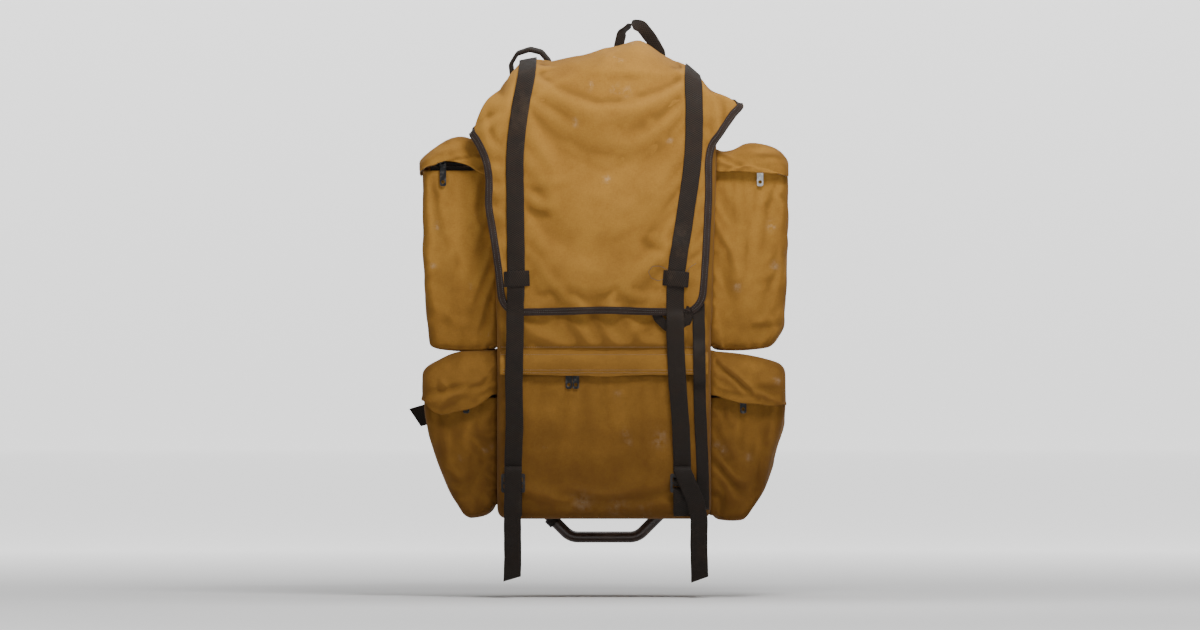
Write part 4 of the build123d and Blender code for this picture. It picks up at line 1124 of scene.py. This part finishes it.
def over_lid(line):
    """A strap's path over the lid from the hinge to the lid's lower edge, and its across vectors."""
    hits = []
    for a in np.linspace(44, 172, 46):
        c, s = math.cos(math.radians(a)), math.sin(math.radians(a))

        def cast(x):
            hit = lid_skin.tree.ray_cast(Vector((x, -100 + 300 * c, 600 + 300 * s)), Vector((0, -c, -s)))[0]
            return None if hit is None else np.array(hit)

        first = cast(float(table(680, *line)))
        if first is None:
            continue
        x = float(table(first[2], *line))
        trio = [cast(x - 10), cast(x), cast(x + 10)]
        if all(h is not None for h in trio):
            hits.append((trio[1] + np.array([0, c, s]) * 1.6, trio[2] - trio[0]))
    for z in np.arange(hits[-1][0][2] - 6, EDGE_Z + 1, -6.0):
        x = float(table(z, *line))
        left, middle, right = (lid_skin.front(x + d, z) for d in (-10, 0, 10))
        y = min(middle[1], (left[1] + right[1]) / 2)
        hits.append((np.array([x, y - 1.6, z]), right - left))
    return np.array([h[0] for h in hits]), np.array([h[1] for h in hits])


for side, line, low in ((-1, LEFT_STRAP, "strap_left_lower"), (1, RIGHT_STRAP, "strap_right_lower")):
    tag = TAGS[side]
    path, across = over_lid(line)
    lo, hi = box_mm(low)
    lock_x = pair_x(LOCK_LO, LOCK_HI, side)
    edge_x = float(table(EDGE_Z, *line))
    lower = [(edge_x, lo[1] + 1, EDGE_Z - 6), (edge_x, lo[1] + 1, 300)]
    lower += [(float(table(240, *line)), lo[1] + 1, 233)]
    lower += [(lock_x - 2 * side, -206.5, 170), (lock_x, FRONT - 3.4, hi[2] - 203), (lock_x, FRONT - 3, 104)]
    lower = np.array(lower)
    path = np.vstack([path, lower])
    across = np.vstack([unit(across), np.tile([1.0, 0, 0], (len(lower), 1))])
    both = route(np.column_stack([path, unit(across) * 20]), 4.0)
    strap = ribbon(f"closure_strap_{tag}_web", both[:, :3], both[:, 3:], 25, 1.7, WEBBING)
    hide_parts(low)
    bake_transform(strap)
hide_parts("closure_straps_upper")

# keepers sewn across the straps
for side, line in ((-1, LEFT_STRAP), (1, RIGHT_STRAP)):
    tag = TAGS[side]
    lo, hi = box_mm("strap_keepers")
    z = (lo[2] + hi[2]) / 2
    x = pair_x(lo, hi, side)
    level = lid_skin.front(x, z)[1]
    keys = [(x - 18, level - 0.8), (x - 15, level - 1.4), (x - 13, level - 4.4), (x, level - 4.9)]
    keys += [(x + 13, level - 4.4), (x + 15, level - 1.4), (x + 18, level - 0.8)]
    tilt = 0.05 if side < 0 else -0.09
    path = route([(px, py, z + (px - x) * tilt) for px, py in keys], 2.0)
    keeper = ribbon(f"strap_keeper_{tag}", path, (0.0, 0.0, 1.0), 22, 1.7, WEBBING, belly=0.15)
    adopt(keeper, "lid", "webbing", *(["strap_keepers"] if side < 0 else []))

# ---------------------------------------------------------------- buckles, anchors and tails
for side in TAGS:
    tag = TAGS[side]
    x = pair_x(LOCK_LO, LOCK_HI, side)
    low, high = LOCK_Z - 4.75, LOCK_Z + 4.75
    keys = [
        (FRONT - 2, 128), (FRONT - 2.6, low + 2), (LOCK_Y - 4, low + 0.8), (LOCK_Y - 4.4, LOCK_Z),
        (LOCK_Y - 4, high - 0.8), (LOCK_Y + 2.7, high), (LOCK_Y + 2.9, LOCK_HI[2] + 4),
    ]
    path = route([(x, y, z) for y, z in keys], 1.0)
    thread = ribbon(f"strap_{tag}_threading", path, (1.0, 0, 0), 24.5, 1.3, WEBBING, belly=0)
    adopt(thread, "pack", "webbing", *(["strap_threading"] if side < 0 else []))
    bar = LOCK_LO[2] + 3
    keys = [
        (FRONT - 1.2, 44), (LOCK_Y + 3.4, 52), (LOCK_Y + 2.8, bar), (LOCK_Y, bar + 4.6), (LOCK_Y - 2.8, bar),
        (LOCK_Y - 2.2, 60), (FRONT - 3.2, 46), (FRONT - 2.2, 41),
    ]
    path = route([(x, y, z) for y, z in keys], 1.5)
    anchor = ribbon(f"strap_{tag}_anchor", path, (1.0, 0, 0), 25, 1.5, WEBBING, belly=0)
    adopt(anchor, "pack", "webbing", *(["strap_anchors"] if side < 0 else []))
    lo, hi = box_mm(f"strap_{tag}_tail")
    ty = (lo[1] + hi[1]) / 2
    top = hi[2]
    fold_over = [
        (x, LOCK_Y + 3, top - 1), (x, LOCK_Y + 1, top + 4.5), (x, LOCK_Y - 4.5, top + 5.5), (x, ty, top),
    ]
    if side < 0:
        keys = fold_over + [
            (x - 0.5, ty - 0.6, 70), (x - 1, ty, 30), (x - 0.5, ty + 0.5, -20), (x - 1.5, ty, lo[2] + 2),
        ]
        across = [1.0, 0.04, 0]
    else:
        keys = fold_over + [
            (x + 6, ty - 1.5, 92), (x + 19, ty - 1, 62), (x + 24, ty, 38), (x + 23.5, ty + 0.5, 0),
            (x + 25, ty, lo[2] + 2),
        ]
        across = [1.0, -0.12, 0.28]
    path = route(keys, 3.0)
    turn = smooth(top + 4, top - 60, path[:, 2])[:, None]
    ways = np.array([1.0, 0, 0]) * (1 - turn) + np.array(across) * turn
    tail = ribbon(f"strap_tail_{tag}_web", path, ways, 24.5, 1.6, WEBBING, slant=-8.0)
    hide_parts(f"strap_{tag}_tail")
    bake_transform(tail)

# ---------------------------------------------------------------- narrow strap and slack loop at the right
lo, hi = box_mm("side_strap")
x = (lo[0] + hi[0]) / 2
pairs = [(x - 4, hi[2] + 8), (x - 3, 290), (x - 2, 200), (x + 2, 110), (x + 3, lo[2])]
path = np.array([flap_skin.front(a, b, 1.8) for a, b in route(pairs, 5.0)])
path[:, 1] = np.minimum(path[:, 1], FRONT - 1.2)
path[:, 1] = [path[max(0, k - 3) : k + 4, 1].min() for k in range(len(path))]
side_web = ribbon("side_strap_web", route(path, 4.0), (1.0, 0.1, 0), 17.5, 1.6, WEBBING)
adopt(side_web, "pack", "webbing", "side_strap")

lo, hi = box_mm("under_lid_loop")
x0, x1, z0, z1 = lo[0], hi[0], lo[2], hi[2]
keys = [
    (x0 + 4, FRONT - 2.2, z1 + 2), (x0 + 9, FRONT - 3.4, z1 - 14), (x0 + 22, FRONT - 4.4, z0 + 7),
    (x0 + 36, FRONT - 4.4, z0 + 5), (x1 - 10, FRONT - 3.4, z0 + 14), (x1 - 4, FRONT - 2.2, z1 + 2),
]
path = route(keys, 2.5)
across = np.cross(unit(np.gradient(path, axis=0)), [0, 1.0, 0.35])
adopt(ribbon("slack_loop", path, across, 13, 1.5, WEBBING), "pack", "webbing", "under_lid_loop")

# ---------------------------------------------------------------- loops at the top
arch = [(-131, 668), (-133, 686), (-124, 701), (-106, 707), (-90, 703), (-79, 690), (-77, 676)]
path = route([(px, -34 - 0.1 * (px + 104), pz) for px, pz in arch], 2.0)
adopt(ribbon("top_arch", path, (0.1, 1.0, 0.2), 20, 5.5, WEBBING), "lid", "webbing", "lid_top_loop")

TUBE_RADIUS = 8
lo, hi = box_mm("frame_upper_bend")
bar, by = hi[2] - TUBE_RADIUS, (lo[1] + hi[1]) / 2  # the top bar's height, and the frame's depth
keys = [
    (31, by - 9, bar), (31, by, bar - 9.5), (30, by + 9.5, bar), (26, by + 11, bar + 12),
    (21, by + 9, bar + 40), (26, by + 9, bar + 61), (40, by + 9, bar + 73), (54, by + 9, bar + 69),
    (68, by + 9, bar + 51), (80, by + 9, bar + 30), (76, by + 10, bar + 14), (64, by + 9.5, bar),
    (63, by, bar - 9.5), (63, by - 9, bar),
]
path = route(keys, 2.5)
along = np.linspace(0, 1, len(path))[:, None]
leaving, over, landing = (smooth(a, b, along) for a, b in ((0.12, 0.3), (0.42, 0.6), (0.8, 0.92)))
ways = np.array([1.0, 0, 0]) * (1 - leaving) + np.array([0.8, 0.6, 0.35]) * (leaving * (1 - over))
ways = ways + np.array([0.9, -0.15, 0.5]) * (over * (1 - landing)) + np.array([1.0, 0, 0]) * landing
adopt(ribbon("haul_loop_web", path, ways, 18, 1.9, WEBBING), "haul_loop", "webbing", "haul_loop")

lo, hi = box_mm("frame_lug_loop")
c = (lo + hi) / 2
d = unit([1.0, 0, -1.0])
e = unit(np.cross(d, [0, 1.0, 0]))
turn = np.linspace(0, 2 * math.pi, 30)
ring = [c + 10.0 * (np.array([0, 1.0, 0]) * math.cos(a) + e * math.sin(a)) for a in turn]
adopt(ribbon("lug_loop", ring, d, 12, 1.6, WEBBING, belly=0), "pack", "webbing", "frame_lug_loop")

# ---------------------------------------------------------------- frame side: bands, harness and belts
lo, hi = box_mm("frame_lower_bend")
RAIL_X = (hi[0] - lo[0]) / 2 - TUBE_RADIUS


def lathe(name, centre, profile, material, sides=28):
    """A turned part standing along Z: profile is radius, height pairs."""
    points, faces = [], []
    for r, h in profile:
        for k in range(sides):
            a = 2 * math.pi * k / sides
            points.append((centre[0] + r * math.cos(a), centre[1] + r * math.sin(a), centre[2] + h))
    faces = quads(len(profile), sides, closed=True)
    faces.append(tuple(reversed(range(sides))))
    faces.append(tuple((len(profile) - 1) * sides + k for k in range(sides)))
    return mesh(name, np.array(points), faces, material)


def arc(cx, cy, r, a0, a1, count=10):
    turn = [math.radians(a) for a in np.linspace(a0, a1, count)]
    return [(cx + r * math.cos(a), cy + r * math.sin(a)) for a in turn]


lo, hi = box_mm("back_bands")
for k, (z0, z1) in enumerate(((lo[2], lo[2] + 60), (hi[2] - 90, hi[2]))):
    span = [(-50, by + 9.4), (0, by + 9.6), (50, by + 9.4)]
    keys = arc(-RAIL_X, by, 9.2, 255, 90) + span + arc(RAIL_X, by, 9.2, 90, -75)
    path = route([(x, y, (z0 + z1) / 2) for x, y in keys], 3.0)
    band = ribbon(f"back_band_{k}", path, (0, 0, 1.0), z1 - z0, 2.0, WEBBING, belly=0)
    adopt(band, "pack", "webbing", *(["back_bands"] if k == 0 else []))

RIVET = [
    (0.4, 1.9), (3.2, 1.6), (4.4, 0.7), (4.5, 0.0), (4.2, -0.4), (2.4, -0.5), (2.4, -7.0), (3.6, -7.2),
    (3.4, -8.0), (0.4, -8.2),
]
anchor_hi = box_mm("harness_anchors")[1]
hx = anchor_hi[0] - 12.5
for sign in TAGS:
    for height, up in ((205.0, -1), (560.0, 1)):
        tag = TAGS[sign] + ("_low" if up < 0 else "_high")
        keys = [(anchor_hi[1], height + 1.2), (by + 12, height + 1.2), *arc(by, height, 7.2, 20, 340, 20)]
        keys += [(by + 12, height - 0.9), (anchor_hi[1], height - 0.9)]
        path = route([(sign * hx, y, z) for y, z in keys], 1.6)
        tab = ribbon(f"harness_tab_{tag}", path, (1.0, 0, 0), 25, 1.8, WEBBING, belly=0)
        adopt(tab, "pack", "webbing", *(["harness_anchors"] if tag == "left_low" else []))
        profile = [(r, up * h) for r, h in RIVET][::up]
        rivet = lathe(f"harness_rivet_{tag}", (sign * hx, 40.0, height + up * 5.5), profile, STEEL)
        adopt(rivet, "pack", "steel")
    tag = TAGS[sign]
    path = route([(sign * hx, y, z) for y, z in WEB_LINE], 3.0)
    web = ribbon(f"shoulder_{tag}_strap", path, (1.0, 0, 0), 25, 1.8, WEBBING)
    adopt(web, f"shoulder_strap_{tag}", "webbing", f"shoulder_{tag}_web")
    lo, hi = box_mm(f"hip_belt_{tag}")
    reach = max(abs(lo[0]), abs(hi[0]))
    turn = [(RAIL_X + 9.3 * math.cos(a), by + 9.3 * math.sin(a)) for a in np.radians(np.linspace(80, -270, 30))]
    keys = [(sign * x, y, hi[2] - 15) for x, y in turn]
    keys += [(sign * (RAIL_X + 14), by + 9.6, hi[2] - 16)]
    for x in np.linspace(RAIL_X + 30, reach - 6, 10):
        sag = 0.3 * (x - RAIL_X - 14)
        keys.append((sign * x, by + 9.6 + 0.4 * math.sin(x / 20), hi[2] - 17 - sag))
    path = route(keys, 2.5)
    belt = ribbon(f"hip_belt_{tag}_web", path, (0, 0, 1.0), 29, 1.8, WEBBING, belly=0, slant=-9.0 * sign)
    adopt(belt, f"hip_belt_{tag}", "webbing", f"hip_belt_{tag}")

# ---------------------------------------------------------------- divider and hood seams
lo, hi = box_mm("bag_divider")
across, deep = np.linspace(lo[0] + 1, hi[0] - 1, 40), np.linspace(hi[1] - 1, lo[1] + 1, 28)
rows = np.array([[(x, y, hi[2] - 1.0) for x in across] for y in deep])
middle = (1 - (rows[..., 0] / hi[0]) ** 2) * np.sin(np.pi * (rows[..., 1] - lo[1]) / (hi[1] - lo[1]))
rows[..., 2] -= 4.0 * middle + 0.6 * bumps(rows, 40, 9)
divider = grid("divider_sheet", rows, LINING)
finish_cloth(divider, 0.9)
adopt(divider, "pack", "canvas_lining", "bag_divider")

# the upper hoods' hinge seams; the lower hoods hardly open and show none
for side, tag in TAGS.items():
    lo, hi = box_mm(f"pocket_upper_{tag}_hood")
    crown = hi[2] - 5
    deep = np.linspace(hi[1] - 14, lo[1] + 16, 36)
    keys = [(150.6, crown + 3.5), (152.5, crown + 1.5), (155, crown - 0.5), (158.5, crown - 1.5)]
    strip = np.array([[(side * x, y, z) for y in deep] for x, z in route(keys, 1.4)])
    strip[..., 2] += 0.5 * bumps(strip * [0, 1, 0], 14, side + 2)
    seam = grid(f"hood_seam_upper_{tag}", strip, CANVAS, flip=side > 0)
    finish_cloth(seam, 1.4)
    adopt(seam, "pack", "canvas", *(["hood_seams"] if side < 0 else []))


# ---------------------------------------------------------------- zips
COIL_STEPS = 12  # points in one turn


def coil(x0, x1, y, z, radius=1.15, pitch=1.5):
    turns = np.arange(0, (x1 - x0) / pitch * COIL_STEPS)
    a = turns * 2 * math.pi / COIL_STEPS
    along = x0 + turns * pitch / COIL_STEPS
    return np.column_stack([along, y + 0.55 * radius * np.cos(a), z + radius * np.sin(a)])


def zip_run(name, x0, x1, y, z, body, nodes, half):
    for k, sign in enumerate((-1, 1)):
        line = np.array([(x, y + 0.7, z + sign * (half / 2 + 0.5)) for x in np.arange(x0, x1, 4.0)])
        tape = ribbon(f"{name}_tape_{k}", line, (0, 0, 1.0), half - 1.2, 0.6, TAPE, belly=0)
        adopt(tape, body, "canvas", *(nodes if k == 0 else []))
    teeth = threads(f"{name}_coil", [coil(x0 + 1, x1 - 1, y, z)], 0.34, TEETH)
    adopt(teeth, body, "zip_chain")


lo, hi = box_mm("lower_zip_chain")
zip_run("lower_zip", lo[0] + 1, hi[0] - 1, (lo[1] + hi[1]) / 2, ZIP_Z, "pack", ["lower_zip_chain"], 7.0)
for level, side in POCKETS:
    tag = TAGS[side]
    s_lo, s_hi = box_mm(f"pocket_{level}_{tag}_slider")
    body_lo, body_hi = box_mm(f"pocket_{level}_{tag}_body")
    outer = max(abs(body_lo[0]), abs(body_hi[0])) - 6
    x0, x1 = sorted((side * 152.5, side * outer))
    chains = ["pocket_zip_chains"] if (level, side) == ("upper", -1) else []
    zip_run(f"pocket_{level}_{tag}_zip", x0, x1, -166.2, (s_lo[2] + s_hi[2]) / 2, "pack", chains, 6.0)

# ---------------------------------------------------------------- stitching and loose threads
rows = ((143, 244.5), (143, 248.5), (146, 281), (146, 270.5))
lines = [flap_skin.line([(-x, z), (x, z)], 0.35) for x, z in rows]
adopt(stitches("flap_stitches", lines, THREAD), "pack", "canvas")
edge_lines = []
for d in (7.4, 2.0):
    line = rim + inward * d
    out = np.cross(np.gradient(line, axis=0), inward)
    edge_lines.append(line + unit(out) * 2.1)
adopt(stitches("binding_stitches", edge_lines, DARK_THREAD, 3.0, 2.1, 0.24), "lid", "binding")
for level, side in POCKETS:
    tag = TAGS[side]
    lines = [line for key, line in hem_lines if key == (level, side)]
    adopt(stitches(f"hood_stitches_{level}_{tag}", lines, THREAD), f"pocket_{level}_{tag}_hood", "canvas")

# loose threads by the lid's lower edge: x, z and how far they stand off the cloth
curl = [
    (90, 391, 2.0), (80, 396, 1.5), (69, 396, 2.4), (63, 388, 3.0), (67, 379, 3.0), (77, 375, 2.4),
    (86, 378, 1.2),
]
loose = route([lid_skin.front(x, z, lift) for x, z, lift in curl], 1.2)
wisp = [(117, 388, 2.0), (124, 396, 3.0), (131, 400, 2.0)]
wisp = route([lid_skin.front(x, z, lift) for x, z, lift in wisp], 1.2)
adopt(threads("loose_thread", [loose, wisp], 0.35, DARK_THREAD), "lid", "webbing")

# ---------------------------------------------------------------- stage
# metres from here on: a round floor that curves up into a low wall all round
FLOOR = -0.075 + ORIGIN[2]
REACH, COVE = 24.0, 2.0
rings = [0.0, 0.5, 1.0, 1.5, 2.0, 3.0, 4.0, 6.0, 10.0, 16.0, REACH - COVE]
section = [(max(r, 0.01), 0.0) for r in rings]
for a in np.linspace(0.2, math.pi / 2, 8):
    section.append((REACH - COVE + COVE * math.sin(a), COVE - COVE * math.cos(a)))
turns = np.linspace(0, 2 * math.pi, 96, endpoint=False)
points = [(r * math.cos(a), r * math.sin(a), FLOOR + z) for r, z in section for a in turns]
data = bpy.data.meshes.new("cyclorama")
middle = tuple(reversed(range(len(turns))))
data.from_pydata(points, [], quads(len(section), len(turns), closed=True) + [middle])
data.polygons.foreach_set("use_smooth", [True] * len(data.polygons))
backdrop = bpy.data.objects.new("cyclorama", data)
bpy.context.scene.collection.objects.link(backdrop)
paper = Shader("paper")
spread = paper.node("VectorMath", operation="LENGTH")
paper.put(spread.inputs[0], paper.node("TexCoord").outputs["Object"])
# the paper glows from GLOW_NEAR outwards, so that the object's own shadow still shows
GLOW_NEAR, GLOW_FAR, GLOW = 0.9, 4.0, 1.45
glow = paper.ramp(spread.outputs["Value"], GLOW_NEAR, GLOW_FAR, 0.0, GLOW)
data.materials.append(
    paper.done(
        Base_Color=(0.86, 0.86, 0.86), Roughness=0.95, Specular_IOR_Level=0.05,
        Emission_Color=(1.0, 1.0, 1.0), Emission_Strength=glow,
    )
)

scene = bpy.context.scene
world = bpy.data.worlds.new("studio")
scene.world = world
world.use_nodes = True
world.node_tree.nodes["Background"].inputs["Color"].default_value = (1, 1, 1, 1)
world.node_tree.nodes["Background"].inputs["Strength"].default_value = 0.03


def softbox(name, where, aim, size, watts):
    light = bpy.data.lights.new(name, "AREA")
    light.shape = "RECTANGLE"
    light.size, light.size_y = size
    light.energy = watts
    obj = bpy.data.objects.new(name, light)
    obj.location = where
    obj.rotation_euler = (Vector(aim) - Vector(where)).to_track_quat("-Z", "Y").to_euler()
    scene.collection.objects.link(obj)


CENTRE = place([0, -100, 330])
softbox("key", (0.3, -1.0, 0.72), CENTRE + np.array([0, 0, 0.15]), (0.55, 0.4), 17)
softbox("fill", (1.6, -2.4, 0.3), CENTRE, (1.2, 1.2), 1.5)
softbox("rim", (0.3, 1.6, 1.8), CENTRE, (1.2, 1.2), 8)
softbox("floor_light", (0, 0.7, 3.2), (0, 0.7, 0), (6.0, 4.0), 130)

# metres from the camera to the bag's front, and the width that the picture shows there
DISTANCE, SHOWN_WIDTH, SENSOR = 20.0, 1.704, 36.0
front_plane = FRONT * 0.001 + ORIGIN[1]
aim = place([-5.7, FRONT, 326.6])
data = bpy.data.cameras.new("camera")
data.sensor_width = SENSOR
data.lens = SENSOR * DISTANCE / SHOWN_WIDTH
data.clip_end = 60
camera = bpy.data.objects.new("camera", data)
camera.location = (aim[0], front_plane - DISTANCE, aim[2])
camera.rotation_euler = (math.pi / 2, 0, 0)
scene.collection.objects.link(camera)
scene.camera = camera
